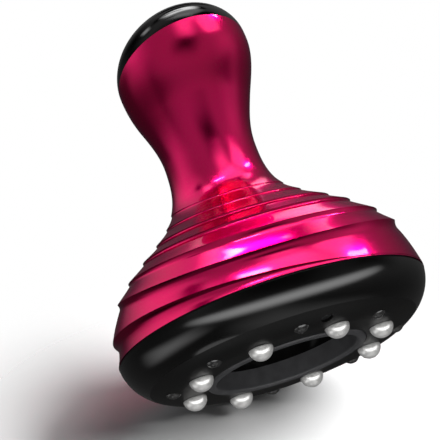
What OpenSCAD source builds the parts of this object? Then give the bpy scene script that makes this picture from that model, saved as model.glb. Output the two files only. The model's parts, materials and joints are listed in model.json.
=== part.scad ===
// Cupping massager: a mushroom-shaped hand piece with a suction cup, eight
// massage beads and lamps in its underside, and a control cap on its knob.
// It stands on the tips of its beads at z = 0, with the controls towards +Y.

/* [Outer skin] */
// Radius of the base where the coloured casing meets the black bowl
base_r = 52.4; // [50:0.2:56]
// Height of the joint between casing and bowl
seam_z = 18.8; // [18:0.2:21]
// Least radius of the neck
neck_r = 15.8; // [15.2:0.1:18]
// Height of the narrowest part of the neck
neck_z = 79.5; // [78:0.5:83]
// Radius of the palm knob
knob_r = 23.6; // [23:0.1:26]
// Height of the knob's centre above the battery cell's top
knob_over_cell = 8; // [6.5:0.5:12]
// Height that the knob's upper half would have without the cap
knob_crown = 29.6; // [26:0.2:34]
// How far the neck stands back from the base axis
neck_set_back = 3.5; // [2.5:0.1:4.5]
// How far the knob stands back from the base axis
knob_set_back = 0.7; // [0:0.1:3]
// Steepness of the flare between base and neck
flare_power = 2.25; // [2.1:0.05:2.5]
// Wall of the casing
casing_wall = 2.4; // [2:0.1:2.6]
// Depth of the hollow below each ripple's rim
ripple_depth = 0.8; // [0:0.1:1]

/* [Control cap] */
// Backward tilt of the joint between casing and cap
cap_tilt = 19.2; // [15:0.2:25]
// Distance of that joint below the knob's centre
cap_drop = 0.7; // [0:0.1:3]
// Height of the cap above its joint
cap_height = 15.4; // [14.6:0.2:18]
// How far the cap's crown leans towards the front
cap_lean = 3.2; // [0:0.2:4]
// Wall of the cap
cap_wall = 2.2; // [1.8:0.1:2.4]
// Radius of each button
button_r = 3.1; // [2.5:0.1:3.4]
// Distance from the cap's centre to each button
button_circle_r = 12.6; // [11.8:0.1:13.2]
// Travel of a button
button_travel = 0.6; // [0.3:0.1:0.8]
// Height of a button above the cap
button_rise = 0.5; // [0.3:0.1:0.8]
// Length of the display window
window_length = 15; // [12:0.5:17]
// Width of the display window
window_width = 8; // [6:0.5:9]
// Wall of the collar that centres the cap in the casing
collar_wall = 1.5; // [1.2:0.1:2]
// Depth of that collar
collar_depth = 3.4; // [2:0.1:4]

/* [Bowl and massage ring] */
// Wall of the black bowl
bowl_wall = 2.2; // [1.8:0.1:2.4]
// Height of the bowl's flat bottom
floor_z = 7.4; // [7:0.1:8]
// Width of the rounding between the flat underside and the casing
bowl_round = 17.9; // [17:0.1:18.5]
// Radius of a massage bead
bead_r = 4; // [3.6:0.1:4.4]
// Radius of the circle of beads
bead_circle_r = 33; // [32.8:0.1:33.4]
// Radius of a bead's stem
bead_stem_r = 3; // [2.6:0.1:3.2]
// Length of a bead's stem
bead_stem = 1.8; // [1.4:0.1:2]
// Distance of the lamp windows from the base's edge
lamp_inset = 13.8; // [13.5:0.1:14.1]
// Radius of a lamp window's stem
lamp_stem_r = 1.9; // [1.6:0.1:2.1]
// Radius of the ball that a lamp window's dome is cut from
lamp_ball_r = 3; // [2.6:0.1:3.4]
// Height of a lamp window's dome
lamp_dome = 1.2; // [0.8:0.1:1.4]
// Radius of the skin sensor
sensor_r = 1.9; // [1.6:0.1:2.1]
// Distance of the sensor from the base's edge
sensor_inset = 11.8; // [11.4:0.1:12.4]
// Depth of the sensor below the ring's face
sensor_recess = 1; // [0.5:0.1:1.4]

/* [Suction cup] */
// Radius of the cup's mouth
mouth_r = 24; // [23:0.1:24.4]
// Thickness of the soft lip around the mouth
lip_wall = 3.2; // [2.4:0.1:3.4]
// How far the lip stands out of the massage ring
lip_rise = 0.6; // [0.3:0.1:1]
// Wall of the cup
cup_wall = 1.6; // [1.4:0.1:1.8]
// Height of the cup's ceiling
ceiling_z = 26; // [25:0.1:26.6]
// Rounding between the cup's wall and ceiling
cup_round = 8; // [5:0.5:10]
// Outer radius of the cup's flange
flange_r = 33.6; // [33.2:0.1:33.8]
// Thickness of the cup's flange
flange_h = 1.8; // [1.4:0.1:2.2]
// Thickness of the gasket below the flange
gasket_h = 0.8; // [0.6:0.1:1]
// Radius of the two air nipples
nipple_r = 1.7; // [1.4:0.1:1.9]
// Bore radius of an air nipple
nipple_bore_r = 0.9; // [0.6:0.1:1]
// Outer radius of the air tubes
tube_r = 2.2; // [1.9:0.1:2.4]
// Radius of the circle of lenses in the ceiling
lens_circle_r = 12.5; // [12:0.1:13]
// Radius of a lens in the ceiling
lens_r = 2.1; // [1.8:0.1:2.4]

/* [Deck] */
// Height of the deck that carries the drive
deck_z = 32; // [31.6:0.1:33]
// Thickness of the deck
deck_h = 2; // [1.6:0.1:2.4]
// Distance of the deck's edge from the base's edge
deck_inset = 6.2; // [5.8:0.1:6.6]
// Radius of a screw post
post_r = 3; // [2.6:0.1:3.2]

/* [Drive] */
// Radius of the pump's motor
pump_motor_r = 8; // [7.4:0.1:8.2]
// Length of the pump's motor
pump_motor_l = 20; // [16:0.5:21]
// Width of the pump's head
pump_head_w = 16.4; // [16:0.1:17]
// Length of the pump's head
pump_head_l = 14; // [12:0.5:15]
// Radius of a motor shaft
shaft_r = 1; // [0.8:0.05:1.2]
// Radius of the pump's crank
crank_r = 4; // [3:0.1:4.4]
// Throw of the pump's crank
crank_throw = 1; // [0.5:0.1:1.4]
// Radius of the vibration motor
vibrator_r = 6; // [5:0.1:6.4]
// Length of the vibration motor
vibrator_l = 18; // [16:0.5:20]
// Wall of the rubber sleeve on the vibration motor
sleeve_wall = 1.5; // [1:0.1:1.8]
// Radius of the vibration weight
weight_r = 5; // [4:0.1:5.5]
// Length of the vibration weight
weight_l = 5; // [4:0.5:6]
// Radius of the release valve
valve_r = 5; // [4:0.1:5.4]
// Height of the release valve
valve_h = 9; // [8:0.5:10]
// Travel of the valve's plunger
valve_travel = 1.5; // [1:0.1:1.8]

/* [Power] */
// Radius of the battery cell
cell_r = 9.15; // [8:0.05:9.3]
// Length of the battery cell
cell_l = 50; // [45:0.5:51]
// Height of the battery cell's lower end
cell_z = 55; // [54.5:0.1:56]
// Wall of the battery cradle
cradle_wall = 1.4; // [1:0.1:1.6]
// Width of the charging socket
socket_w = 9; // [8.4:0.1:9.4]
// Height of the charging socket
socket_h = 3.2; // [2.8:0.1:3.4]
// Depth of the charging socket
socket_l = 7.4; // [6.5:0.1:8]
// Thickness of every circuit board
board_h = 1.2; // [0.8:0.1:1.6]

/* [Fits] */
// Gap around a fixed piece in its pocket
fit_gap = 0.1; // [0.05:0.01:0.15]
// Gap around a piece that turns or slides
run_gap = 0.05; // [0.02:0.01:0.08]
// Gap around a button
button_gap = 0.3; // [0.2:0.01:0.4]

/* [Hidden] */
$fn = 64;
SMALL = 0.01;
knob_z = cell_z + cell_l + knob_over_cell;

RED = [0.78, 0.03, 0.25];
BLACK = [0.03, 0.03, 0.035];
SMOKE = [0.1, 0.1, 0.11];
SILVER = [0.78, 0.77, 0.75];
STEEL = [0.62, 0.63, 0.65];
BOARD = [0.05, 0.33, 0.16];
GREY = [0.3, 0.3, 0.32];
CLEAR = [0.85, 0.87, 0.9];
RUBBER = [0.12, 0.12, 0.13];
GOLD = [0.85, 0.66, 0.25];

// Casing skin: a flare, a neck and a ball-shaped knob, set back towards +Y
lean_start_z = 46;
lean_end_z = 66;
return_below = 17;
return_above = 1;
return_start_z = knob_z - return_below;
return_end_z = knob_z + return_above;

function ease(t) = let(c = min(1, max(0, t))) c * c * (3 - 2 * c);
function mix(a, b, t) = a + (b - a) * t;
function flare(t) = t <= 0 ? 1 : t >= 1 ? 0 : 1 / (1 + pow(t / (1 - t), flare_power));
function swell(t) = (1 - cos(180 * t)) / 2;
function skin_r(z) =
    z < neck_z ? neck_r + (base_r - neck_r) * flare((z - seam_z) / (neck_z - seam_z))
    : z < knob_z ? neck_r + (knob_r - neck_r) * swell((z - neck_z) / (knob_z - neck_z))
    : knob_r * sqrt(max(0, 1 - pow((z - knob_z) / knob_crown, 2)));
function skin_y(z) =
    neck_set_back * ease((z - lean_start_z) / (lean_end_z - lean_start_z))
    - (neck_set_back - knob_set_back)
      * ease((z - return_start_z) / (return_end_z - return_start_z));

// Ripple rims from the base up: mean height above the joint, how far the rim
// dips, and the direction in which it dips
RIMS = [
    [4.2, 4.5, -45],
    [19.5, 9.2, -108],
    [24.4, 6.4, -104],
    [30.0, 5.8, -107],
    [34.5, 5.4, -103],
    [39.9, 4.9, -107],
    [44.5, 4.0, -105]
];
least_band = 0.5;
band_steps = 4;
neck_steps = 13;
half_steps = 32;

function rim_z(k, a) =
    max(seam_z + least_band, seam_z + RIMS[k][0] - RIMS[k][1] * cos(a - RIMS[k][2]));

// Joint between casing and cap: a plane that falls towards +Y
cap_z = knob_z - cap_drop / cos(cap_tilt);
function cap_plane(y) = cap_z - tan(cap_tilt) * (y - knob_set_back);
function top_z(a, inset, z, steps) =
    steps == 0 ? z
    : top_z(a, inset, cap_plane(skin_y(z) + (skin_r(z) - inset) * sin(a)), steps - 1);

// Height of the joint, a rim or the cap's edge, counted upwards from 0
function level_z(k, a, inset) =
    k == 0 ? seam_z
    : k <= len(RIMS) ? rim_z(k - 1, a)
    : top_z(a, inset, knob_z, 8);
ring_count = len(RIMS) * band_steps + neck_steps + 1;
function ring_band(i) = min(floor(i / band_steps), len(RIMS));
function ring_part(i) =
    let(b = ring_band(i))
    (i - b * band_steps) / (b < len(RIMS) ? band_steps : neck_steps);
function hollow(i, inset) =
    inset > 0 || ring_band(i) == 0 || ring_band(i) == len(RIMS) ? 0
    : ripple_depth * sin(180 * pow(ring_part(i), 1.5));
function skin_point(i, a, inset) =
    let(
        b = ring_band(i),
        z = mix(level_z(b, a, inset), level_z(b + 1, a, inset), ring_part(i)),
        r = skin_r(z) - inset - hollow(i, inset)
    )
    [r * cos(a), skin_y(z) + r * sin(a), z];

function tri(q) = [[q[0], q[1], q[2]], [q[0], q[2], q[3]]];

// Half of the casing between two angles, as one closed shell
module casing_half(from, to) {
    n = half_steps;
    m = ring_count;
    angles = [for (j = [0:n]) mix(from, to, j / n)];
    outer = [for (a = angles) for (i = [0:m - 1]) skin_point(i, a, 0)];
    inner = [for (a = angles) for (i = [0:m - 1]) skin_point(i, a, casing_wall)];
    s = (n + 1) * m;
    faces = [
        for (j = [0:n - 1]) for (i = [0:m - 2])
            let(a = j * m + i, b = a + 1, c = b + m, d = a + m)
            each concat(tri([a, b, c, d]), tri([s + a, s + d, s + c, s + b])),
        for (j = [0:n - 1])
            let(a = j * m, d = a + m, b = a + m - 1, c = d + m - 1)
            each concat(tri([a, d, s + d, s + a]), tri([c, b, s + b, s + c])),
        for (i = [0:m - 2])
            let(a = i, b = i + 1, d = n * m + i, c = d + 1)
            each concat(tri([b, a, s + a, s + b]), tri([d, c, s + c, s + d]))
    ];
    polyhedron(concat(outer, inner), faces, convexity = 6);
}

// Cap: the joint's own outline drawn up into a low dome, in the knob's frame
dome_steps = 9;
cap_columns = 2 * half_steps;
cap_axis = [0, sin(cap_tilt), cos(cap_tilt)];
cap_centre = [0, knob_set_back, cap_z];
function rim_point(a, inset) =
    let(z = top_z(a, inset, knob_z, 8), r = skin_r(z) - inset)
    [r * cos(a), skin_y(z) + r * sin(a), z];
function crown_way(inset) =
    cap_axis * (cap_height - inset) + cap_lean * [0, -cos(cap_tilt), sin(cap_tilt)];
function dome_point(a, lift, inset) =
    cap_centre + (rim_point(a, inset) - cap_centre) * cos(lift) + crown_way(inset) * sin(lift);

module cap_dome() {
    n = cap_columns;
    m = dome_steps;
    skins = [
        for (inset = [0, cap_wall])
            concat(
                [for (j = [0:n - 1]) for (i = [0:m - 1])
                    dome_point(360 * j / n, 90 * i / m, inset)],
                [cap_centre + crown_way(inset)]
            )
    ];
    s = n * m + 1;
    faces = [
        for (j = [0:n - 1]) for (i = [0:m - 2])
            let(a = j * m + i, b = a + 1, d = (j + 1) % n * m + i, c = d + 1)
            each concat(tri([a, b, c, d]), tri([s + a, s + d, s + c, s + b])),
        for (j = [0:n - 1])
            let(a = j * m + m - 1, d = (j + 1) % n * m + m - 1, t = n * m)
            each [[a, t, d], [s + a, s + d, s + t]],
        for (j = [0:n - 1])
            let(a = j * m, d = (j + 1) % n * m)
            each tri([a, d, s + d, s + a])
    ];
    polyhedron(concat(skins[0], skins[1]), faces, convexity = 6);
}

module cap_frame() {
    translate(cap_centre) rotate([-cap_tilt, 0, 0]) children();
}

// Plain helpers
module ring(outer, inner, h) {
    difference() {
        cylinder(r = outer, h = h);
        translate([0, 0, -1]) cylinder(r = inner, h = h + 2);
    }
}
module around(r, angles) {
    for (a = angles) rotate([0, 0, a]) translate([r, 0, 0]) children();
}
module along_x(x) {
    translate([x, 0, 0]) rotate([0, 90, 0]) children();
}
module screw(r, head_r, head_h, l) {
    cylinder(r = r, h = l);
    translate([0, 0, -head_h]) cylinder(r = head_r, h = head_h);
}

// Angles of everything that repeats around the base
bead_turn = 5;
lamp_circle_r = base_r - lamp_inset;
sensor_circle_r = base_r - sensor_inset;
bead_angles = [for (k = [0:7]) bead_turn + 45 * k];
lamp_angles = [for (k = [0:7]) bead_turn + 22.5 + 45 * k];
sensor_angle = -95.5;
cup_screw_angles = [for (k = [0:3]) bead_turn + 90 * k];
base_screw_angles = [for (k = [0:3]) bead_turn + 45 + 90 * k];
peg_angles = [for (k = [0:3]) bead_turn + 22.5 + 90 * k];
casing_screw_angles = [18, 162, 198, 342];
lens_angles = [for (k = [0:5]) 30 + 60 * k];

// Heights worked out from the stack of pieces
ring_z = bead_r;
ring_h = floor_z - ring_z;
gasket_z = floor_z + bowl_wall;
flange_z = gasket_z + gasket_h;
seal_r = mouth_r + lip_wall;
hole_r = seal_r + fit_gap;
seam_gasket_h = 0.4;
bowl_top_z = seam_z - seam_gasket_h;

// Fasteners
small_screw_r = 0.9;
small_head_r = 1.7;
small_head_h = 1.1;
screw_r = 1.4;
head_r = 2.5;
head_h = 1.6;

// Bowl: the lower quarter of an ellipse, down to its flat bottom
bowl_centre_r = base_r - bowl_round;
bowl_centre_z = seam_z + 1.2;
bowl_drop = bowl_centre_z - ring_z;
bowl_steps = 10;
ring_steps = 7;
spigot_h = 4;
spigot_wall = 2;
spigot_gap = 0.3;
function bowl_r(z, inset) =
    bowl_centre_r + (bowl_round - inset)
    * sqrt(max(0, 1 - pow((bowl_centre_z - z) / (bowl_drop - inset), 2)));
function under_z(r) =
    bowl_centre_z - bowl_drop * sqrt(1 - pow(max(0, r - bowl_centre_r) / bowl_round, 2));
function under_tilt(r) = atan2(under_z(r + 0.1) - under_z(r - 0.1), 0.2);
function bowl_curve(z0, z1, inset) =
    [for (i = [0:bowl_steps]) let(z = mix(z0, z1, i / bowl_steps)) [bowl_r(z, inset), z]];

base_post_inset = 14.4;
base_post_r = base_r - base_post_inset;
peg_r = 1.5;
peg_circle_r = 29.6;
peg_gap = 0.2;

module base_bowl() {
    color(BLACK) difference() {
        union() {
            rotate_extrude() polygon(concat(
                bowl_curve(floor_z, bowl_top_z, 0),
                [
                    [base_r - casing_wall - spigot_gap, bowl_top_z],
                    [base_r - casing_wall - spigot_gap, seam_z + spigot_h],
                    [base_r - casing_wall - spigot_gap - spigot_wall, seam_z + spigot_h],
                    [base_r - casing_wall - spigot_gap - spigot_wall, bowl_top_z]
                ],
                bowl_curve(bowl_top_z - 1, gasket_z, bowl_wall),
                [[hole_r, gasket_z], [hole_r, floor_z]]
            ));
            around(base_post_r, base_screw_angles)
                translate([0, 0, gasket_z - SMALL])
                cylinder(r = post_r, h = deck_z - gasket_z + SMALL);
            around(lamp_circle_r, [for (k = [0:3]) bead_turn + 90 * k])
                translate([0, 0, gasket_z - SMALL])
                cylinder(r = lamp_post_r, h = lamp_board_z - gasket_z + SMALL);
        }
        around(base_post_r, base_screw_angles) {
            translate([0, 0, floor_z - 1]) cylinder(r = screw_r + fit_gap, h = deck_z);
            translate([0, 0, floor_z - 1]) cylinder(r = head_r + fit_gap, h = head_h + 1);
        }
        around(lamp_circle_r, lamp_angles)
            translate([0, 0, floor_z - 1]) cylinder(r = led_r + 2 * fit_gap, h = bowl_wall + 2);
        around(peg_circle_r, peg_angles)
            translate([0, 0, floor_z - 1]) cylinder(r = peg_r + fit_gap, h = bowl_wall + 2);
        around(cup_screw_circle_r, cup_screw_angles)
            translate([0, 0, gasket_z - cup_screw_grip])
            cylinder(r = small_screw_r + fit_gap, h = cup_screw_grip + 1);
    }
}

module seam_gasket() {
    inner = base_r - casing_wall - spigot_gap + fit_gap;
    color(RUBBER) translate([0, 0, bowl_top_z])
        ring(base_r - 0.5, inner, seam_gasket_h);
}

// A place on the rounded underside, with Z pointing into the ring
module on_underside(r, angles) {
    around(r, angles) translate([0, 0, under_z(r)]) rotate([0, -under_tilt(r), 0]) children();
}

// Massage ring with its beads, magnets, lamp windows and sensor
module massage_ring() {
    color(BLACK) difference() {
        union() {
            rotate_extrude() polygon(concat(
                [[hole_r, floor_z], [hole_r, ring_z]],
                [for (i = [0:ring_steps])
                    let(r = mix(bowl_centre_r, bowl_r(floor_z, 0), i / ring_steps))
                    [r, under_z(r)]]
            ));
            around(peg_circle_r, peg_angles)
                translate([0, 0, floor_z - SMALL])
                cylinder(r = peg_r, h = bowl_wall - peg_gap + SMALL);
        }
        around(bead_circle_r, bead_angles)
            translate([0, 0, ring_z - 1]) cylinder(r = bead_stem_r + fit_gap, h = ring_h + 2);
        on_underside(lamp_circle_r, lamp_angles)
            translate([0, 0, -1]) cylinder(r = lamp_stem_r + fit_gap, h = ring_h + 3);
        on_underside(sensor_circle_r, [sensor_angle])
            translate([0, 0, -2]) cylinder(r = sensor_r + fit_gap, h = ring_h + 4);
    }
}
module bead(k) {
    color(SILVER) around(bead_circle_r, [bead_angles[k]]) {
        difference() {
            translate([0, 0, ring_z]) sphere(r = bead_r);
            translate([0, 0, ring_z + bead_r]) cube(2 * bead_r, center = true);
        }
        translate([0, 0, ring_z]) cylinder(r = bead_stem_r, h = bead_stem);
    }
}
module bead_magnets() {
    color(STEEL) around(bead_circle_r, bead_angles)
        translate([0, 0, ring_z + bead_stem])
        cylinder(r = bead_stem_r, h = ring_h - bead_stem);
}
module lamp_windows() {
    color(SMOKE) on_underside(lamp_circle_r, lamp_angles) {
        intersection() {
            translate([0, 0, lamp_ball_r - lamp_dome]) sphere(r = lamp_ball_r);
            translate([0, 0, -lamp_ball_r]) cylinder(r = lamp_ball_r, h = lamp_ball_r);
        }
        cylinder(r = lamp_stem_r, h = lamp_stem);
    }
}
module skin_sensor() {
    color(STEEL) on_underside(sensor_circle_r, [sensor_angle])
        translate([0, 0, sensor_recess])
        cylinder(r = sensor_r, h = sensor_h);
}

// Lamps behind the windows
lamp_stem = floor_z - under_z(lamp_circle_r) - 0.3;
sensor_h = 1;
led_r = 1.5;
led_tip_gap = 0.5;
lamp_board_lift = 2;
lamp_board_z = gasket_z + lamp_board_lift;
lamp_board_in = flange_r + 0.4;
lamp_board_rim = 1.2;
lamp_board_out = base_post_r + post_r + lamp_board_rim;
lamp_post_r = 2;
module lamp_leds() {
    color(CLEAR) around(lamp_circle_r, lamp_angles)
        translate([0, 0, floor_z + led_tip_gap])
        cylinder(r = led_r, h = lamp_board_z - floor_z - led_tip_gap);
}
module lamp_board() {
    color(BOARD) difference() {
        translate([0, 0, lamp_board_z]) ring(lamp_board_out, lamp_board_in, board_h);
        around(base_post_r, base_screw_angles)
            translate([0, 0, lamp_board_z - 1])
            cylinder(r = post_r + 2 * fit_gap, h = board_h + 2);
    }
}

// Suction cup with its soft lip, gasket, filter and light
cup_screw_circle_r = 31.4;
cup_screw_grip = 1.9;
lip_round = 1;
nipple_x = 3.6;
nipple_h = 6;
filter_r = 5;
filter_h = 1.4;
filter_cap_h = 1.2;
filter_wall = 1.3;
filter_hole_r = 0.6;
lens_drop = 0.6;
cup_led_r = 1.4;
cup_board_z = ceiling_z + cup_wall + 1.6;
cup_board_in = 8.5;
cup_board_out = 17;
cup_post_r = 1.3;
module mouth_seal() {
    z0 = ring_z - lip_rise;
    color(RUBBER) rotate_extrude() polygon(concat(
        [for (i = [0:4]) let(a = 180 + 22.5 * i)
            [mouth_r + lip_round + lip_round * cos(a), z0 + lip_round + lip_round * sin(a)]],
        [for (i = [0:4]) let(a = 270 + 22.5 * i)
            [seal_r - lip_round + lip_round * cos(a), z0 + lip_round + lip_round * sin(a)]],
        [[seal_r, flange_z], [mouth_r, flange_z]]
    ));
}
module suction_cup() {
    top_z = ceiling_z + cup_wall;
    out_r = mouth_r + cup_wall;
    out_round = cup_round + cup_wall;
    arc = [for (i = [0:8]) 90 * i / 8];
    color(BLACK) difference() {
        union() {
            rotate_extrude() polygon(concat(
                [[mouth_r, flange_z]],
                [for (a = arc) [mouth_r - cup_round + cup_round * cos(a),
                                ceiling_z - cup_round + cup_round * sin(a)]],
                [[0, ceiling_z], [0, top_z]],
                [for (a = arc) [out_r - out_round + out_round * sin(a),
                                top_z - out_round + out_round * cos(a)]],
                [[out_r, flange_z + flange_h], [flange_r, flange_z + flange_h], [flange_r, flange_z]]
            ));
            for (side = [-1, 1])
                translate([side * nipple_x, 0, top_z - SMALL])
                cylinder(r = nipple_r, h = nipple_h + SMALL);
            translate([0, 0, ceiling_z - filter_h - filter_cap_h])
                ring(filter_r + filter_wall, filter_r + fit_gap, filter_h + filter_cap_h + SMALL);
            around(lens_circle_r, [for (k = [0:2]) 120 * k])
                translate([0, 0, top_z - SMALL])
                cylinder(r = cup_post_r, h = cup_board_z - top_z + SMALL);
        }
        for (side = [-1, 1])
            translate([side * nipple_x, 0, ceiling_z - 1])
            cylinder(r = nipple_bore_r, h = cup_wall + nipple_h + 2);
        around(lens_circle_r, lens_angles)
            translate([0, 0, ceiling_z - 1]) cylinder(r = lens_r + fit_gap, h = cup_wall + 2);
        around(cup_screw_circle_r, cup_screw_angles)
            translate([0, 0, flange_z - 1])
            cylinder(r = small_screw_r + fit_gap, h = flange_h + 2);
    }
}
module cup_gasket() {
    color(RUBBER) translate([0, 0, gasket_z])
        ring(cup_screw_circle_r - small_screw_r - 0.5, seal_r + 2 * fit_gap, gasket_h);
}
module cup_screws() {
    color(STEEL) around(cup_screw_circle_r, cup_screw_angles)
        translate([0, 0, flange_z + flange_h]) mirror([0, 0, 1])
        screw(small_screw_r, small_head_r, small_head_h,
              flange_h + gasket_h + cup_screw_grip - fit_gap);
}
module port_filter() {
    color(CLEAR) translate([0, 0, ceiling_z - filter_h]) cylinder(r = filter_r, h = filter_h);
}
module filter_cap() {
    color(GREY) difference() {
        translate([0, 0, ceiling_z - filter_h - filter_cap_h])
            cylinder(r = filter_r, h = filter_cap_h);
        around(filter_r / 2, [for (k = [0:5]) 60 * k])
            translate([0, 0, ceiling_z - filter_h - filter_cap_h - 1])
            cylinder(r = filter_hole_r, h = filter_cap_h + 2);
    }
}
module cup_lenses() {
    color(CLEAR) around(lens_circle_r, lens_angles)
        translate([0, 0, ceiling_z - lens_drop]) cylinder(r = lens_r, h = cup_wall + lens_drop);
}
module cup_leds() {
    color(GOLD) around(lens_circle_r, lens_angles)
        translate([0, 0, ceiling_z + cup_wall])
        cylinder(r = cup_led_r, h = cup_board_z - ceiling_z - cup_wall);
}
module cup_lamp_board() {
    color(BOARD) translate([0, 0, cup_board_z]) ring(cup_board_out, cup_board_in, board_h);
}

// Deck: the plate that joins bowl and casings and carries the drive
deck_top = deck_z + deck_h;
deck_r = base_r - deck_inset;
tube_way_r = 8;
casing_post_inset = 10.8;
casing_post_r = base_r - casing_post_inset;
casing_post_h = 4;
casing_rib_l = 5.4;
casing_rib_w = 3;
rib_h = 2.6;
saddle_h = 4;
saddle_l = 3;
pump_y = -14;
pump_x = -2;
pump_z = deck_top + 1 + pump_motor_r;
vibrator_y = 17;
vibrator_x = -5;
vibrator_z = deck_top + 1 + vibrator_r + sleeve_wall;
valve_x = 27;
valve_y = -3;
cradle_leg_x = 8.6;
cradle_leg_r = 2;
cradle_base_h = 2;
driver_inset = 23.4;
driver_x = driver_inset - base_r;
driver_y = 2;
driver_l = 24;
driver_w = 12;
driver_lift = 2;
driver_post_r = 2;
charge_inset = 17.9;
charge_y = base_r - charge_inset;
charge_l = 15;
charge_w = 18;
charge_post_r = 1.8;
charge_post_x = 7;
charge_post_back = 1.5;
charge_post_y = charge_y - charge_post_back;
charge_z = 24;
axis_y = neck_set_back;

module saddle(x, y, z, r) {
    difference() {
        translate([x - saddle_l / 2, y - r, deck_top - SMALL])
            cube([saddle_l, 2 * r, saddle_h + SMALL]);
        translate([0, y, z]) along_x(x - saddle_l) cylinder(r = r + run_gap, h = 2 * saddle_l);
    }
}
module deck() {
    color(GREY) difference() {
        union() {
            translate([0, 0, deck_z]) cylinder(r = deck_r, h = deck_h);
            for (share = [0.2, 0.75])
                saddle(pump_x - pump_motor_l * share, pump_y, pump_z, pump_motor_r);
            saddle(vibrator_x, vibrator_y, vibrator_z, vibrator_r + sleeve_wall);
            for (s = [-1, 1]) {
                translate([driver_x, driver_y + s * driver_l / 3, deck_top - SMALL])
                    cylinder(r = driver_post_r, h = driver_lift + SMALL);
                translate([s * charge_post_x, charge_post_y, charge_z + board_h])
                    cylinder(r = charge_post_r, h = deck_z - charge_z - board_h + SMALL);
            }
        }
        translate([0, 0, deck_z - 1]) cylinder(r = tube_way_r, h = deck_h + 2);
        around(base_post_r, base_screw_angles)
            translate([0, 0, deck_z - 1]) cylinder(r = screw_r + run_gap, h = deck_h + 2);
        around(casing_post_r, casing_screw_angles)
            translate([0, 0, deck_z - 1]) cylinder(r = screw_r + fit_gap, h = deck_h + 2);
        for (s = [-1, 1])
            translate([s * cradle_leg_x, axis_y, deck_z - 1])
            cylinder(r = small_screw_r + fit_gap, h = deck_h + 2);
    }
}
module base_screws() {
    color(STEEL) around(base_post_r, base_screw_angles)
        translate([0, 0, floor_z + head_h])
        screw(screw_r, head_r, head_h, deck_top - floor_z - head_h);
}
casing_screw_l = deck_h + casing_post_h - 0.6;
module casing_screws() {
    color(STEEL) around(casing_post_r, casing_screw_angles)
        translate([0, 0, deck_z]) screw(screw_r, head_r, head_h, casing_screw_l);
}

// Casing halves: the shell, with two screw posts each on ribs from the wall
module casing_posts(angles) {
    difference() {
        union() {
            around(casing_post_r, angles)
                translate([0, 0, deck_top]) cylinder(r = post_r, h = casing_post_h);
            around(casing_post_r, angles)
                translate([0, -casing_rib_w / 2, deck_top])
                cube([casing_rib_l, casing_rib_w, rib_h]);
        }
        around(casing_post_r, angles)
            translate([0, 0, deck_top - 1])
            cylinder(r = screw_r + run_gap, h = casing_post_h + 0.6);
    }
}
socket_z = charge_z + board_h + socket_h / 2;
socket_hole_gap = 0.3;
socket_wall = 0.4;
socket_foot = 4;
socket_reach = 6;
module front_casing() {
    color(RED) union() {
        casing_half(180, 360);
        casing_posts([198, 342]);
    }
}
module rear_casing() {
    color(RED) difference() {
        union() {
            casing_half(0, 180);
            casing_posts([18, 162]);
        }
        translate([0, base_r, socket_z]) rotate([90, 0, 0])
            slot_solid(socket_w + 2 * socket_hole_gap, socket_h + 2 * socket_hole_gap,
                       2 * casing_wall + 4);
    }
}
module slot_solid(w, h, l) {
    linear_extrude(l) {
        square([w - h, h], center = true);
        for (s = [-1, 1]) translate([s * (w - h) / 2, 0]) circle(d = h);
    }
}

// Control cap, drawn in the knob's tilted frame
board_r = 16.5;
board_post_r = 2;
board_post_circle_r = 13.6;
board_post_angles = [0, 180, 270];
board_screw_grip = 4;
screw_tip_gap = 0.4;
crown_r = pow(knob_r, 2) / cap_height;
crown_z = cap_height - crown_r;
window_under = cap_height - 3.4;
collar_r = knob_r - casing_wall - 1;
button_angles = [50, 90, 130];
switch_w = 4.4;
switch_h = 3;
stem_r = 1.4;
stem_h = 1.5;
key_gap = 0.1;
button_skirt = 1.6;
function cap_top(x, y) = crown_z + sqrt(pow(crown_r, 2) - pow(x, 2) - pow(y + cap_lean, 2));
button_foot = cap_top(0, button_circle_r + button_r) - cap_wall - button_skirt;
board_z = button_foot - stem_h + SMALL - key_gap - button_travel - switch_h - board_h;
window_y = -2;

post_cover = 0.7;
function post_top(a) =
    cap_top((board_post_circle_r + board_post_r) * cos(a),
            (board_post_circle_r + board_post_r) * sin(a)) - post_cover;

module window_outline(grow) {
    w = window_length + 2 * grow;
    h = window_width + 2 * grow;
    translate([0, window_y, 0]) {
        square([w - h, h], center = true);
        for (s = [-1, 1]) translate([s * (w - h) / 2, 0]) circle(d = h);
    }
}
module control_cap() {
    color(BLACK) difference() {
        union() {
            cap_dome();
            cap_frame() {
                translate([0, 0, -collar_depth])
                    ring(collar_r, collar_r - collar_wall, collar_depth + 2.4);
                translate([0, 0, 0.4]) ring(knob_r - 1, collar_r - collar_wall, 2);
                for (a = board_post_angles)
                    around(board_post_circle_r, [a])
                    translate([0, 0, board_z + board_h])
                    cylinder(r = board_post_r, h = post_top(a) - board_z - board_h);
            }
        }
        cap_frame() {
            around(button_circle_r, button_angles)
                cylinder(r = button_r + button_gap, h = 2 * cap_height);
            translate([0, 0, window_under - module_way]) linear_extrude(cap_height) window_outline(fit_gap);
            around(board_post_circle_r, board_post_angles)
                translate([0, 0, board_z])
                cylinder(r = small_screw_r + run_gap, h = board_h + board_screw_grip + screw_tip_gap);
        }
    }
}
module_way = 3;
module_inset_x = 1.5;
module_inset_y = 0.6;
module display_window() {
    color(SMOKE) cap_frame() intersection() {
        translate([0, 0, window_under]) linear_extrude(cap_height) window_outline(0);
        translate([0, -cap_lean, crown_z]) sphere(r = crown_r);
    }
}
module display_module() {
    l = window_length - 2 * module_inset_x;
    w = window_width - 2 * module_inset_y;
    color(GREY) cap_frame()
        translate([-l / 2, window_y - w / 2, board_z + board_h])
        cube([l, w, window_under - board_z - board_h]);
}
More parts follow.
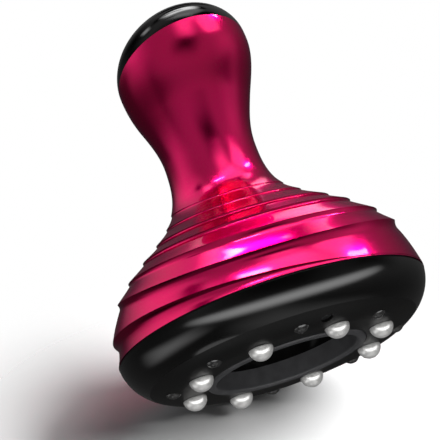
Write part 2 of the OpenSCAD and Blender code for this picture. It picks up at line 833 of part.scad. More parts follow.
module button(angle) {
    color(BLACK) cap_frame() {
        intersection() {
            around(button_circle_r, [angle])
                translate([0, 0, button_foot]) cylinder(r = button_r, h = cap_height);
            translate([0, -cap_lean, crown_z]) sphere(r = crown_r + button_rise);
        }
        around(button_circle_r, [angle])
            translate([0, 0, board_z + board_h + switch_h + button_travel + key_gap])
            cylinder(r = stem_r, h = stem_h);
    }
}
module power_button() { button(button_angles[0]); }
module suction_button() { button(button_angles[1]); }
module heat_button() { button(button_angles[2]); }
module key_switch(k) {
    color(STEEL) cap_frame() around(button_circle_r, [button_angles[k]])
        translate([-switch_w / 2, -switch_w / 2, board_z + board_h])
        cube([switch_w, switch_w, switch_h]);
}
module control_board() {
    color(BOARD) cap_frame() difference() {
        translate([0, 0, board_z]) cylinder(r = board_r, h = board_h);
        around(board_post_circle_r, board_post_angles)
            translate([0, 0, board_z - 1]) cylinder(r = small_screw_r + fit_gap, h = board_h + 2);
    }
}
module board_screws() {
    color(STEEL) cap_frame() around(board_post_circle_r, board_post_angles)
        translate([0, 0, board_z])
        screw(small_screw_r, small_head_r, small_head_h, board_h + board_screw_grip);
}

// Vacuum pump: motor, head and the crank that turns inside the head
crank_l = 3;
crank_gap = 2.5;
crank_x = pump_x + crank_gap;
shaft_in = 5;
chamber_r = crank_r + crank_throw + 1;
chamber_l = 8;
pump_nipple_l = 3;
pump_nipple_z = 4;
module pump_motor() {
    color(STEEL) translate([0, pump_y, pump_z]) difference() {
        along_x(pump_x - pump_motor_l) cylinder(r = pump_motor_r, h = pump_motor_l);
        along_x(pump_x - pump_motor_l / 2) cylinder(r = shaft_r + run_gap, h = pump_motor_l);
    }
}
module pump_head() {
    color(GREY) translate([0, pump_y, pump_z]) difference() {
        union() {
            translate([pump_x, -pump_head_w / 2, -pump_head_w / 2])
                cube([pump_head_l, pump_head_w, pump_head_w]);
            translate([0, 0, pump_nipple_z])
                along_x(pump_x + pump_head_l - SMALL) cylinder(r = nipple_r, h = pump_nipple_l + SMALL);
        }
        along_x(pump_x - 1) cylinder(r = chamber_r, h = chamber_l + 1);
        translate([0, 0, pump_nipple_z])
            along_x(pump_x + chamber_l + 1) cylinder(r = nipple_bore_r, h = pump_head_l);
    }
}
module pump_crank() {
    color(STEEL) translate([0, pump_y, pump_z]) {
        along_x(pump_x - shaft_in) cylinder(r = shaft_r, h = shaft_in + crank_gap + crank_l);
        translate([0, 0, crank_throw]) along_x(crank_x) cylinder(r = crank_r, h = crank_l);
    }
}

// Air tubes: round sweeps along a few bends
tube_sides = 10;
tube_rings = 28;
function bezier(p, t) =
    len(p) == 1 ? p[0]
    : bezier([for (i = [0:len(p) - 2]) mix(p[i], p[i + 1], t)], t);
function unit(v) = v / norm(v);
module tube(path, side) {
    n = tube_rings;
    points = [for (i = [0:n]) bezier(path, i / n)];
    dirs = [for (i = [0:n])
        i == 0 ? unit(path[1] - path[0])
        : i == n ? unit(path[len(path) - 1] - path[len(path) - 2])
        : unit(points[i + 1] - points[i - 1])];
    ring_points = [
        for (i = [0:n])
            let(u = unit(cross(dirs[i], side)), v = cross(dirs[i], u))
            for (k = [0:tube_sides - 1])
                let(a = 360 * k / tube_sides)
                points[i] + tube_r * (u * cos(a) + v * sin(a))
    ];
    faces = [
        [for (k = [0:tube_sides - 1]) k],
        [for (k = [tube_sides - 1:-1:0]) n * tube_sides + k],
        for (i = [0:n - 1]) for (k = [0:tube_sides - 1])
            let(a = i * tube_sides + k, b = i * tube_sides + (k + 1) % tube_sides)
            each [[b, a, a + tube_sides], [b, a + tube_sides, b + tube_sides]]
    ];
    polyhedron(ring_points, faces, convexity = 4);
}
cup_nipple_top = ceiling_z + cup_wall + nipple_h;
pump_nipple_tip = [pump_x + pump_head_l + pump_nipple_l, pump_y, pump_z + pump_nipple_z];
valve_nipple_l = 2.4;
valve_nipple_z = 4;
valve_nipple_tip = [valve_x - valve_r - valve_nipple_l, valve_y, deck_top + valve_nipple_z];
// The suction tube passes the pump at these distances from its shaft
suction_rise = 9;
lane_half_l = 10;
lane_l = 21;
lane_start = [pump_x, -1.8, 3];
lane_middle = [pump_x + lane_half_l, -1.8, 3.5];
lane_end = [pump_x + lane_l, -1.5, 3.5];
suction_turn = [14, 7, 0];
suction_end = [12, 0, 0];
suction_side = [0, 0.6, 0.8];
vent_rise = 5;
vent_end = [-9, 0, 0];
vent_side = [0, 1, 0.1];
module suction_tube() {
    start = [-nipple_x, 0, cup_nipple_top];
    lane = [for (p = [lane_start, lane_middle, lane_end]) p + [0, 0, pump_z]];
    way_in = [pump_nipple_tip + suction_turn, pump_nipple_tip + suction_end, pump_nipple_tip];
    color(CLEAR) tube(concat([start, start + [0, 0, suction_rise]], lane, way_in), suction_side);
}
module vent_tube() {
    start = [nipple_x, 0, cup_nipple_top];
    rise = start + [0, 0, vent_rise];
    color(CLEAR) tube([start, rise, valve_nipple_tip + vent_end, valve_nipple_tip], vent_side);
}

// Release valve: body, sprung plunger and its return spring
plunger_r = 1.4;
plunger_head_r = 2.6;
plunger_head_h = 1;
spring_wall = 0.8;
spring_h = 2.4;
plunger_depth = 5;
module release_valve() {
    color(GREY) difference() {
        union() {
            translate([valve_x, valve_y, deck_top]) cylinder(r = valve_r, h = valve_h);
            translate([0, valve_y, deck_top + valve_nipple_z])
                along_x(valve_x - valve_r - valve_nipple_l)
                cylinder(r = nipple_r, h = valve_nipple_l + 1);
        }
        translate([valve_x, valve_y, deck_top + valve_h - plunger_depth - valve_travel - 0.3])
            cylinder(r = plunger_r + run_gap, h = valve_h);
    }
}
module valve_plunger() {
    color(STEEL) translate([valve_x, valve_y, deck_top + valve_h]) {
        translate([0, 0, -plunger_depth]) cylinder(r = plunger_r, h = plunger_depth + spring_h);
        translate([0, 0, spring_h]) cylinder(r = plunger_head_r, h = plunger_head_h);
    }
}
module valve_spring() {
    color(STEEL) translate([valve_x, valve_y, deck_top + valve_h])
        ring(plunger_r + 0.3 + spring_wall, plunger_r + 0.3, spring_h);
}

// Vibration motor in its rubber sleeve, with the half-round weight on its shaft
weight_gap = 1;
module vibration_motor() {
    color(STEEL) translate([0, vibrator_y, vibrator_z]) difference() {
        along_x(vibrator_x - vibrator_l / 2) cylinder(r = vibrator_r, h = vibrator_l);
        along_x(vibrator_x) cylinder(r = shaft_r + run_gap, h = vibrator_l);
    }
}
module vibration_weight() {
    end_x = vibrator_x + vibrator_l / 2;
    color(GOLD) translate([0, vibrator_y, vibrator_z]) {
        along_x(end_x - shaft_in) cylinder(r = shaft_r, h = shaft_in + weight_gap + weight_l);
        intersection() {
            along_x(end_x + weight_gap) cylinder(r = weight_r, h = weight_l);
            translate([end_x, -weight_r, -weight_r])
                cube([2 * weight_l, 2 * weight_r, weight_r + shaft_r]);
        }
    }
}
sleeve_l = 12;
module motor_sleeve() {
    color(RUBBER) translate([0, vibrator_y, vibrator_z])
        along_x(vibrator_x - sleeve_l / 2)
        ring(vibrator_r + sleeve_wall, vibrator_r + run_gap, sleeve_l);
}

// Battery in its cradle, which stands on the deck on two legs
cell_bare = 8;
cradle_h = cell_l - cell_bare;
cradle_slot_w = 8;
cradle_screw_grip = 4.6;
module battery_cell() {
    color(BOARD) translate([0, axis_y, cell_z]) {
        cylinder(r = cell_r, h = cell_l);
        translate([0, 0, cell_l - SMALL]) cylinder(r = 3, h = 1 + SMALL);
    }
}
module battery_cradle() {
    color(GREY) translate([0, axis_y, 0]) difference() {
        union() {
            translate([0, 0, cell_z - cradle_base_h])
                cylinder(r = cell_r + fit_gap + cradle_wall, h = cradle_base_h);
            translate([0, 0, cell_z - SMALL])
                ring(cell_r + fit_gap + cradle_wall, cell_r + fit_gap, cradle_h);
            for (s = [-1, 1])
                translate([s * cradle_leg_x, 0, deck_top])
                cylinder(r = cradle_leg_r, h = cell_z - cradle_base_h - deck_top + SMALL);
        }
        translate([-cradle_slot_w / 2, 0, cell_z + 4])
            cube([cradle_slot_w, 2 * cell_r, cradle_h]);
        for (s = [-1, 1])
            translate([s * cradle_leg_x, 0, deck_top - 1])
            cylinder(r = small_screw_r + run_gap, h = 1 + cradle_screw_grip + 0.4);
    }
}
module cradle_screws() {
    color(STEEL) for (s = [-1, 1])
        translate([s * cradle_leg_x, axis_y, deck_z])
        screw(small_screw_r, small_head_r, small_head_h, deck_h + cradle_screw_grip);
}

// Boards
chip_w = 5;
chip_l = 4;
chip_h = 2;
module driver_board() {
    color(BOARD) translate([driver_x, driver_y, deck_top + driver_lift]) {
        translate([-driver_w / 2, -driver_l / 2, 0]) cube([driver_w, driver_l, board_h]);
        for (k = [-1:1])
            translate([-chip_w / 2, k * driver_l / 4 - chip_l / 2, board_h - SMALL])
            cube([chip_w, chip_l, chip_h]);
    }
}
module charge_board() {
    color(BOARD) translate([-charge_w / 2, charge_y - charge_l / 2, charge_z])
        cube([charge_w, charge_l, board_h]);
}
module charge_socket() {
    mouth_y = charge_y + charge_l / 2 + socket_reach;
    color(STEEL) translate([0, mouth_y, socket_z]) rotate([90, 0, 0]) difference() {
        slot_solid(socket_w, socket_h, socket_l + socket_foot);
        translate([0, 0, -1])
            slot_solid(socket_w - 2 * socket_wall, socket_h - 2 * socket_wall, socket_l);
    }
}

// Wires from the deck up to the control board
wire_r = 0.7;
wire_x = 12;
wire_end_gap = 0.2;
wire_top = cap_plane(axis_y + wire_r) + board_z / cos(cap_tilt) - wire_end_gap;
module wire_loom() {
    color("orange") for (s = [-1, 1])
        translate([s * wire_x, axis_y, deck_top])
        cylinder(r = wire_r, h = wire_top - deck_top);
}

front_casing();
rear_casing();
control_cap();
display_window();
display_module();
power_button();
suction_button();
heat_button();
for (k = [0:2]) key_switch(k);
control_board();
board_screws();
seam_gasket();
base_bowl();
massage_ring();
for (k = [0:7]) bead(k);
bead_magnets();
lamp_windows();
lamp_leds();
lamp_board();
skin_sensor();
mouth_seal();
suction_cup();
cup_gasket();
cup_screws();
port_filter();
filter_cap();
cup_lenses();
cup_leds();
cup_lamp_board();
deck();
base_screws();
casing_screws();
pump_motor();
pump_head();
pump_crank();
suction_tube();
vent_tube();
release_valve();
valve_plunger();
valve_spring();
vibration_motor();
vibration_weight();
motor_sleeve();
battery_cell();
battery_cradle();
cradle_screws();
driver_board();
charge_board();
charge_socket();
wire_loom();
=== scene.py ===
"""Looks of the cupping massager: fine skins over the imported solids, materials, light, camera."""

import json
import math

import bmesh
import bpy
from mathutils import Matrix, Vector


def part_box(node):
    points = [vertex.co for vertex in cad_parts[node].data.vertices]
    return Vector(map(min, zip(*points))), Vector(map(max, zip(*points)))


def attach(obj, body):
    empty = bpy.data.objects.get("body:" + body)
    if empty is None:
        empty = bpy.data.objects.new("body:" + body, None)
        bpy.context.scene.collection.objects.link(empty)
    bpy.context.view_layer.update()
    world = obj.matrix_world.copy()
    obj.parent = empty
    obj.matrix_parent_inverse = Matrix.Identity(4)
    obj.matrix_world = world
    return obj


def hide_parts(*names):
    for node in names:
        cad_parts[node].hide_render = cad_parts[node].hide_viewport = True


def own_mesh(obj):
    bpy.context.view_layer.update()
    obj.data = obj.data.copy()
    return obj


MM = 0.001
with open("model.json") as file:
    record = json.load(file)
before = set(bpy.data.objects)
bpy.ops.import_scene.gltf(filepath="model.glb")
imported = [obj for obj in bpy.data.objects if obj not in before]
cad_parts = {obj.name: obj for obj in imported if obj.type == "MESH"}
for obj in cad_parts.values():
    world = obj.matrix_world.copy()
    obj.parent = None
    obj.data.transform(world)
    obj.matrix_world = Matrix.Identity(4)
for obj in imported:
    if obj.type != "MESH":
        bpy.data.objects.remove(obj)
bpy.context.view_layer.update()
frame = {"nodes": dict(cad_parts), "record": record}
BODY = "body"

# Sizes of the solids, in millimetres, with z up from the beads' tips.
# Casing: a flared shell that leans back into a neck and ends in a knob.
BASE_R = 52.4
SEAM_Z = 18.8
NECK_R = 15.8
NECK_Z = 79.5
KNOB_R = 23.6
KNOB_Z = 113
KNOB_CROWN = 29.6
NECK_SET_BACK = 3.5
KNOB_SET_BACK = 0.7
LEAN_Z = (46, 66)
RETURN_Z = (96, 114)
FLARE_POWER = 2.25
CASING_WALL = 2.4
SOCKET_GAP = 0.3

# Rims of the ripples: height over the joint with the bowl, swing, and the degree it is lowest at
RIMS = [(4.2, 4.5, -45), (19.5, 9.2, -108), (24.4, 6.4, -104), (30.0, 5.8, -107),
        (34.5, 5.4, -103), (39.9, 4.9, -107), (44.5, 4.0, -105)]
LEAST_BAND = 0.5

# Control cap, its collar, keys and display window
CAP_TILT = math.radians(19.2)
CAP_DROP = 0.7
CAP_HEIGHT = 15.4
CAP_LEAN = 3.2
CAP_WALL = 2.2
COLLAR_GAP = 1
COLLAR_WALL = 1.5
COLLAR_DEPTH = 3.4
COLLAR_CHAMFER = 0.3
LEDGE_INSET = 1.2
LEDGE_Z = (0.4, 2.4)
BUTTON_R = 3.1
BUTTON_CIRCLE_R = 12.6
BUTTON_RISE = 0.5
BUTTON_GAP = 0.3
BUTTON_DEPTH = 1.6
BUTTON_EDGE = 0.35
BUTTON_ANGLES = {"power_button": 50, "suction_button": 90, "heat_button": 130}
DISH_R = 2.3
DISH_DEPTH = 0.25
WINDOW = (15, 8)
WINDOW_Y = -2
WINDOW_GAP = 0.1
WINDOW_DEPTH = 3.4
WINDOW_EDGE = 0.12

# Bowl, with the spigot that locates the casing, and the bead ring under it
RING_Z = 4
RING_EDGE = 0.3
BOWL_ROUND = 17.9
BOWL_WALL = 2.2
BOWL_LIP = 0.25
BOWL_FLOOR_Z = 7.4
BOWL_TOP_Z = SEAM_Z - 0.4
BOWL_CENTRE_R = BASE_R - BOWL_ROUND
BOWL_CENTRE_Z = SEAM_Z + 1.2
BOWL_DROP = BOWL_CENTRE_Z - RING_Z
SPIGOT_H = 4
SPIGOT_WALL = 2
SPIGOT_GAP = 0.3
SPIGOT_FOOT = 1

# Beads, the lamp windows between them, and the sensor
COUNT = 8
STEP = 360 / COUNT
BEAD_R = 4
BEAD_CIRCLE_R = 33
BEAD_TURN = 5
BEAD_CHAMFER = 0.25
BEAD_EDGE = (0.075, 0.02)
BEAD_END = -4
BEAD_STEM_R = 3
BEAD_STEM_H = 1.8
LAMP_CIRCLE_R = 38.6
LAMP_BALL_R = 3
LAMP_DOME = 1.2
LAMP_CHAMFER = 0.15
LAMP_STEM_R = 1.9
LAMP_STEM_H = 2.4
SENSOR_CIRCLE_R = 40.6
SENSOR_ANGLE = -95.5
SENSOR_R = 1.9
HOLE_GAP = 0.1
BEAD_ANGLES = [BEAD_TURN + STEP * k for k in range(COUNT)]
LAMP_ANGLES = [BEAD_TURN + STEP / 2 + STEP * k for k in range(COUNT)]

# Suction mouth: lip, cup, the cup's six lenses and two ports
MOUTH_R = 24
LIP_WALL = 3.2
LIP_RISE = 0.6
LIP_ROUND = 1
CUP_WALL = 1.6
CUP_ROUND = 8
CEILING_Z = 26
FLANGE_R = 33.6
FLANGE_H = 1.8
FLANGE_Z = 10.4
GASKET_Z = 9.6
LENS_CIRCLE_R = 12.5
LENS_R = 2.1
LENS_ANGLES = range(30, 390, 60)
PORT_X = 3.6
PORT_R = 0.9
MOUTH_HOLE_R = MOUTH_R + LIP_WALL + HOLE_GAP

# How far the cutting tools reach, the socket's in metres
BEAD_CUT = (2, 12)
LAMP_CUT = (-1, 8)
SENSOR_CUT = (-2, 8)
CUP_CUT = (CEILING_Z - 1, CEILING_Z + CUP_WALL + 1)
BUTTON_CUT = (5, 40)
WINDOW_CUT = (CAP_HEIGHT - 6.4, 2 * CAP_HEIGHT)
SOCKET_CUT_Y = (0.042, 0.060)

# Mesh densities
HALF_COLUMNS = 180
NECK_ROWS = 90
INNER_ROWS = 40
BOWL_ROWS = 40
RING_ROWS = 30
ROUND = 256
SMALL_ROUND = 64
TINY_ROUND = 48
BUTTON_ROWS = 16
WINDOW_ROWS = 10
DOME_COLUMNS = 360
DOME_ROWS = 70
EDGE_STEPS = 5
LIP_STEPS = 8
LAMP_STEPS = 14
CUP_STEPS = 20
BEAD_STEPS = 28
UNDER_STEPS = 6
SOCKET_STEPS = 16
WINDOW_STEPS = 24
AXIS_R = 0.0001
WELD = 1e-7
SHARP_ANGLE = math.radians(35)


def ease(t):
    c = min(1.0, max(0.0, t))
    return c * c * (3 - 2 * c)


def mix(a, b, t):
    return a + (b - a) * t


def spaced(low, high, count):
    return [mix(low, high, i / count) for i in range(count + 1)]


def on_circle(r, angle):
    a = math.radians(angle)
    return r * math.cos(a), r * math.sin(a)


# Casing profile, the same rule as in the solids
def flare(t):
    if t <= 0:
        return 1.0
    if t >= 1:
        return 0.0
    return 1 / (1 + (t / (1 - t)) ** FLARE_POWER)


def skin_r(z):
    if z < NECK_Z:
        return NECK_R + (BASE_R - NECK_R) * flare((z - SEAM_Z) / (NECK_Z - SEAM_Z))
    if z < KNOB_Z:
        t = (z - NECK_Z) / (KNOB_Z - NECK_Z)
        return NECK_R + (KNOB_R - NECK_R) * (1 - math.cos(math.pi * t)) / 2
    return KNOB_R * math.sqrt(max(0.0, 1 - ((z - KNOB_Z) / KNOB_CROWN) ** 2))


def skin_y(z):
    lean = ease((z - LEAN_Z[0]) / (LEAN_Z[1] - LEAN_Z[0]))
    back = ease((z - RETURN_Z[0]) / (RETURN_Z[1] - RETURN_Z[0]))
    return NECK_SET_BACK * lean - (NECK_SET_BACK - KNOB_SET_BACK) * back


def rim_z(rim, a):
    up, swing, toward = rim
    return max(SEAM_Z + LEAST_BAND, SEAM_Z + up - swing * math.cos(a - math.radians(toward)))


CAP_Z = KNOB_Z - CAP_DROP / math.cos(CAP_TILT)
CAP_EDGE_TRIES = 12


def cap_edge_z(a, inset):
    """Height at which the casing meets the cap's slanted joint, closed in on step by step."""
    z = KNOB_Z
    for _ in range(CAP_EDGE_TRIES):
        y = skin_y(z) + (skin_r(z) - inset) * math.sin(a)
        z = CAP_Z - math.tan(CAP_TILT) * (y - KNOB_SET_BACK)
    return z


# A ripple: a tread that flares out from one rim, then an upright riser under the next rim
RIPPLE_MOST = 1.5
RIPPLE_SHARE = 0.15
RIPPLE_START = 0.35
RIPPLE_START_BAND = 3
RIPPLE_FADE = (1, 1, 1, 1, 1, 0.6, 0.4)
TREAD_ROWS = 12
TREAD_POWER = 1.3
RISER_ROWS = 4
RISER_POWER = 1.6
RISER_SHARE = 0.3
LEAST_SLOPE = 0.5
SLOPE_STEP = 0.5


def ripple_rows(low, high, share):
    """Heights and insets from a lower rim up to the next one; the share makes it shallower."""
    band = high - low
    slope = max(LEAST_SLOPE, (skin_r(high - SLOPE_STEP) - skin_r(high)) / SLOPE_STEP)
    start = RIPPLE_START * ease(band / RIPPLE_START_BAND)
    depth = share * min(RIPPLE_MOST, RIPPLE_SHARE * band + start)
    riser = min(depth / slope, RISER_SHARE * band)
    rows = []
    for i in range(TREAD_ROWS):
        t = (i / TREAD_ROWS) ** TREAD_POWER
        rows.append((mix(low, high - riser, t), depth * math.sin(math.pi / 2 * t)))
    for i in range(RISER_ROWS):
        t = i / RISER_ROWS
        rows.append((mix(high - riser, high, t), depth * (1 - t ** RISER_POWER)))
    return rows


def skin_line(points, a):
    return [Vector((r * math.cos(a), skin_y(z) + r * math.sin(a), z)) * MM for r, z in points]


def outer_line(a):
    """One upright line of the rippled casing, from the joint with the bowl to the cap's edge."""
    levels = [SEAM_Z] + [rim_z(rim, a) for rim in RIMS]
    points = []
    for low, high, share in zip(levels, levels[1:], RIPPLE_FADE):
        points += [(skin_r(z) - dent, z) for z, dent in ripple_rows(low, high, share)]
    points += [(skin_r(z), z) for z in spaced(levels[-1], cap_edge_z(a, 0.0), NECK_ROWS)]
    return skin_line(points, a)


def inner_line(a):
    """The same line on the casing's smooth inside."""
    heights = spaced(SEAM_Z, cap_edge_z(a, CASING_WALL), INNER_ROWS)
    return skin_line([(skin_r(z) - CASING_WALL, z) for z in heights], a)


# Making pieces
def smooth(mesh):
    for p in mesh.polygons:
        p.use_smooth = True
    mesh.set_sharp_from_angle(angle=SHARP_ANGLE)


def mend(mesh, weld):
    """Turns all faces outward, after joining points that coincide where asked."""
    bm = bmesh.new()
    bm.from_mesh(mesh)
    if weld:
        bmesh.ops.remove_doubles(bm, verts=bm.verts, dist=WELD)
        bmesh.ops.dissolve_degenerate(bm, edges=bm.edges, dist=WELD)
    bmesh.ops.recalc_face_normals(bm, faces=bm.faces)
    bm.to_mesh(mesh)
    bm.free()


def add_mesh(name, verts, faces):
    mesh = bpy.data.meshes.new(name)
    mesh.from_pydata([tuple(v) for v in verts], [], faces)
    mesh.validate()
    mend(mesh, False)
    smooth(mesh)
    obj = bpy.data.objects.new(name, mesh)
    bpy.context.scene.collection.objects.link(obj)
    return obj


def dress(obj, material, body=BODY, replaces=()):
    obj.data.materials.clear()
    obj.data.materials.append(material)
    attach(obj, body)
    if replaces:
        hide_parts(*replaces)


def placed(obj, matrix):
    obj.data.transform(matrix)
    return obj


def band_faces(rows, columns):
    """Quads between closed rings of points, where each ring follows the last one in the mesh."""
    return [(i * columns + j, i * columns + (j + 1) % columns,
             (i + 1) * columns + (j + 1) % columns, (i + 1) * columns + j)
            for i in rows for j in range(columns)]


def shell_between(name, start, end):
    """One half of the casing: outer skin, inner skin and the four edges that close them."""
    angles = spaced(start, end, HALF_COLUMNS)
    outer = [outer_line(a) for a in angles]
    inner = [inner_line(a) for a in angles]
    verts, faces = [], []
    rows_out, rows_in = len(outer[0]), len(inner[0])
    for line in outer:
        verts += line
    base = len(verts)
    for line in inner:
        verts += line

    def o(j, i):
        return j * rows_out + i

    def n(j, i):
        return base + j * rows_in + i

    for j in range(HALF_COLUMNS):
        faces += [(o(j, i), o(j + 1, i), o(j + 1, i + 1), o(j, i + 1))
                  for i in range(rows_out - 1)]
        faces += [(n(j, i), n(j, i + 1), n(j + 1, i + 1), n(j + 1, i))
                  for i in range(rows_in - 1)]
        faces.append((o(j, 0), n(j, 0), n(j + 1, 0), o(j + 1, 0)))
        faces.append((o(j, rows_out - 1), o(j + 1, rows_out - 1),
                      n(j + 1, rows_in - 1), n(j, rows_in - 1)))
    for j in (0, HALF_COLUMNS):
        up = [o(j, i) for i in range(rows_out)]
        down = [n(j, i) for i in reversed(range(rows_in))]
        faces.append(tuple(up + down))
    return add_mesh(name, verts, faces)


def revolve(name, profile, at=(0, 0), segments=ROUND):
    """A closed outline of (radius, height) points in millimetres, turned about an upright axis."""
    verts, faces = [], []
    rows = len(profile)
    for j in range(segments):
        a = 2 * math.pi * j / segments
        verts += [Vector((at[0] + r * math.cos(a), at[1] + r * math.sin(a), z)) * MM
                  for r, z in profile]
    for j in range(segments):
        k = (j + 1) % segments
        for i in range(rows):
            i2 = (i + 1) % rows
            faces.append((j * rows + i, k * rows + i, k * rows + i2, j * rows + i2))
    obj = add_mesh(name, verts, faces)
    mend(obj.data, True)
    return obj


def arc(cx, cz, r, start, end, steps):
    """Points of a circular arc in an outline, angles in degrees."""
    angles = [math.radians(angle) for angle in spaced(start, end, steps)]
    return [(cx + r * math.cos(a), cz + r * math.sin(a)) for a in angles]


def slot_outline(w, h, steps, y=0.0):
    """Outline of a slot with two round ends, its middle at (0, y)."""
    points = []
    for side in (1, -1):
        for i in range(steps + 1):
            a = math.radians(-90 * side + 180 * i / steps)
            points.append((side * (w - h) / 2 + h / 2 * math.cos(a), y + h / 2 * math.sin(a)))
    return points


def prism(near, far):
    """A cutting tool between two outlines with the same number of points."""
    count = len(near)
    faces = [tuple(reversed(range(count))), tuple(range(count, 2 * count))]
    return add_mesh("tool", near + far, faces + band_faces(range(1), count))


def cylinder(at, r, z0, z1, segments=TINY_ROUND):
    return revolve("tool", [(AXIS_R, z0), (r, z0), (r, z1), (AXIS_R, z1)], at, segments)


def cut(obj, tools):
    """Takes the tools out of the piece and deletes them."""
    for tool in tools:
        modifier = obj.modifiers.new("cut", "BOOLEAN")
        modifier.operation = "DIFFERENCE"
        modifier.solver = "EXACT"
        modifier.object = tool
    graph = bpy.context.evaluated_depsgraph_get()
    mesh = bpy.data.meshes.new_from_object(obj.evaluated_get(graph))
    obj.modifiers.clear()
    obj.data = mesh
    for tool in tools:
        bpy.data.objects.remove(tool)
    smooth(mesh)
    return obj


# Materials. WIDE and NARROW are the parts of a noise's range that two colours run over.
WIDE = (0.3, 0.7)
NARROW = (0.35, 0.65)
GRAIN_DEPTH = 0.0001
WARM_GREY = (1.5, 1.45, 1.4)
SHADES = (0.85, 1.15)
ROUGH_SHARES = (0.8, 1.2)


def new_material(name):
    material = bpy.data.materials.new(name)
    material.use_nodes = True
    tree = material.node_tree
    return material, tree, tree.nodes["Principled BSDF"]


def noise(tree, scale, detail, rough=0.5):
    """Noise over the piece's own space."""
    coords = tree.nodes.new("ShaderNodeTexCoord")
    node = tree.nodes.new("ShaderNodeTexNoise")
    node.inputs["Scale"].default_value = scale
    node.inputs["Detail"].default_value = detail
    node.inputs["Roughness"].default_value = rough
    tree.links.new(coords.outputs["Object"], node.inputs["Vector"])
    return node.outputs["Fac"]


def tint(tree, shader, source, low, high, places=WIDE):
    """Base colour that runs from one colour to another with the source."""
    node = tree.nodes.new("ShaderNodeValToRGB")
    for element, place, colour in zip(node.color_ramp.elements, places, (low, high)):
        element.position = place
        element.color = (*colour, 1)
    tree.links.new(source, node.inputs["Fac"])
    tree.links.new(node.outputs["Color"], shader.inputs["Base Color"])


def bump(tree, shader, source, strength, distance=GRAIN_DEPTH):
    node = tree.nodes.new("ShaderNodeBump")
    node.inputs["Strength"].default_value = strength
    node.inputs["Distance"].default_value = distance
    tree.links.new(source, node.inputs["Height"])
    tree.links.new(node.outputs["Normal"], shader.inputs["Normal"])


def spread(tree, shader, source, low, high, socket="Roughness"):
    """A socket that runs from low to high with the source."""
    node = tree.nodes.new("ShaderNodeMapRange")
    node.inputs["To Min"].default_value = low
    node.inputs["To Max"].default_value = high
    tree.links.new(source, node.inputs["Value"])
    tree.links.new(node.outputs["Result"], shader.inputs[socket])


def candy_red():
    material, tree, shader = new_material("candy_red")
    shader.inputs["Metallic"].default_value = 1.0
    shader.inputs["Coat Weight"].default_value = 0.35
    shader.inputs["Specular Tint"].default_value = (0.5, 0.35, 0.5, 1)
    shader.inputs["Coat Roughness"].default_value = 0.03
    flakes = noise(tree, scale=5200, detail=2)
    cloud = noise(tree, scale=26, detail=3)
    tint(tree, shader, cloud, (0.78, 0.003, 0.11), (0.86, 0.004, 0.14), NARROW)
    spread(tree, shader, flakes, 0.16, 0.26)
    bump(tree, shader, flakes, strength=0.06)
    return material


def gloss_black(name, tone, rough, shine=0.5):
    material, tree, shader = new_material(name)
    shader.inputs["Specular IOR Level"].default_value = shine
    cloud = noise(tree, scale=40, detail=4)
    tint(tree, shader, cloud, (tone, tone, tone), tuple(tone * share for share in WARM_GREY))
    spread(tree, shader, cloud, *rough)
    grain = noise(tree, scale=900, detail=2)
    bump(tree, shader, grain, strength=0.02, distance=GRAIN_DEPTH / 2)
    return material


def bead_metal():
    material, tree, shader = new_material("bead_silver")
    shader.inputs["Metallic"].default_value = 0.55
    cloud = noise(tree, scale=350, detail=5, rough=0.6)
    tint(tree, shader, cloud, (0.62, 0.615, 0.6), (0.78, 0.775, 0.76))
    spread(tree, shader, cloud, 0.24, 0.36)
    bump(tree, shader, cloud, strength=0.05)
    return material


def plain(name, colour, rough, metallic=0.0):
    material, tree, shader = new_material(name)
    shader.inputs["Metallic"].default_value = metallic
    grain = noise(tree, scale=300, detail=4)
    dark, light = (tuple(c * share for c in colour) for share in SHADES)
    tint(tree, shader, grain, dark, light, NARROW)
    spread(tree, shader, grain, *(rough * share for share in ROUGH_SHARES))
    bump(tree, shader, grain, strength=0.1)
    return material


def clear():
    material, tree, shader = new_material("clear_plastic")
    shader.inputs["Transmission Weight"].default_value = 0.9
    shader.inputs["IOR"].default_value = 1.46
    grain = noise(tree, scale=200, detail=2)
    tint(tree, shader, grain, (0.85, 0.87, 0.9), (0.95, 0.96, 0.97))
    spread(tree, shader, grain, 0.03, 0.08)
    return material


RED = candy_red()
BLACK = gloss_black("gloss_black", 0.002, (0.05, 0.1))
SATIN = gloss_black("satin_black", 0.002, (0.1, 0.15))
DULL = gloss_black("dull_black", 0.003, (0.36, 0.44), 0.2)
SMOKE = gloss_black("smoked", 0.02, (0.08, 0.16))
SILVER = bead_metal()
RUBBER = plain("soft_rubber", (0.03, 0.03, 0.032), 0.55)
STEEL = plain("satin_steel", (0.5, 0.51, 0.53), 0.3, 1.0)
SLOTS = {
    "casing": RED,
    "black_gloss": BLACK,
    "smoked": SMOKE,
    "bead": SILVER,
    "steel": STEEL,
    "brass_weight": plain("turned_brass", (0.6, 0.42, 0.16), 0.3, 1.0),
    "board": plain("solder_mask", (0.02, 0.16, 0.06), 0.4),
    "grey_plastic": plain("moulded_grey", (0.1, 0.1, 0.11), 0.5),
    "rubber": RUBBER,
    "clear": clear(),
    "led": plain("led_yellow", (0.8, 0.6, 0.15), 0.4),
    "cell": plain("shrink_film", (0.03, 0.12, 0.35), 0.35),
}
NODE_SLOT = {s["node"]: s["material_slot"] for s in frame["record"]["subparts"]}
for node, obj in frame["nodes"].items():
    for place in obj.material_slots:
        place.material = SLOTS[NODE_SLOT[node]]


# Casing halves, the rear one with the opening for the charging socket
def socket_tool():
    low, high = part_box("charge_socket")
    w = high.x - low.x + 2 * SOCKET_GAP * MM
    h = high.z - low.z + 2 * SOCKET_GAP * MM
    middle = ((low + high) / 2).z
    outline = slot_outline(w, h, SOCKET_STEPS)
    return prism(*([Vector((x, y, middle + z)) for x, z in outline] for y in SOCKET_CUT_Y))


dress(shell_between("front_skin", math.pi, 2 * math.pi), RED,
      replaces=["front_casing"])
dress(cut(shell_between("rear_skin", 0, math.pi), [socket_tool()]), RED,
      replaces=["rear_casing"])


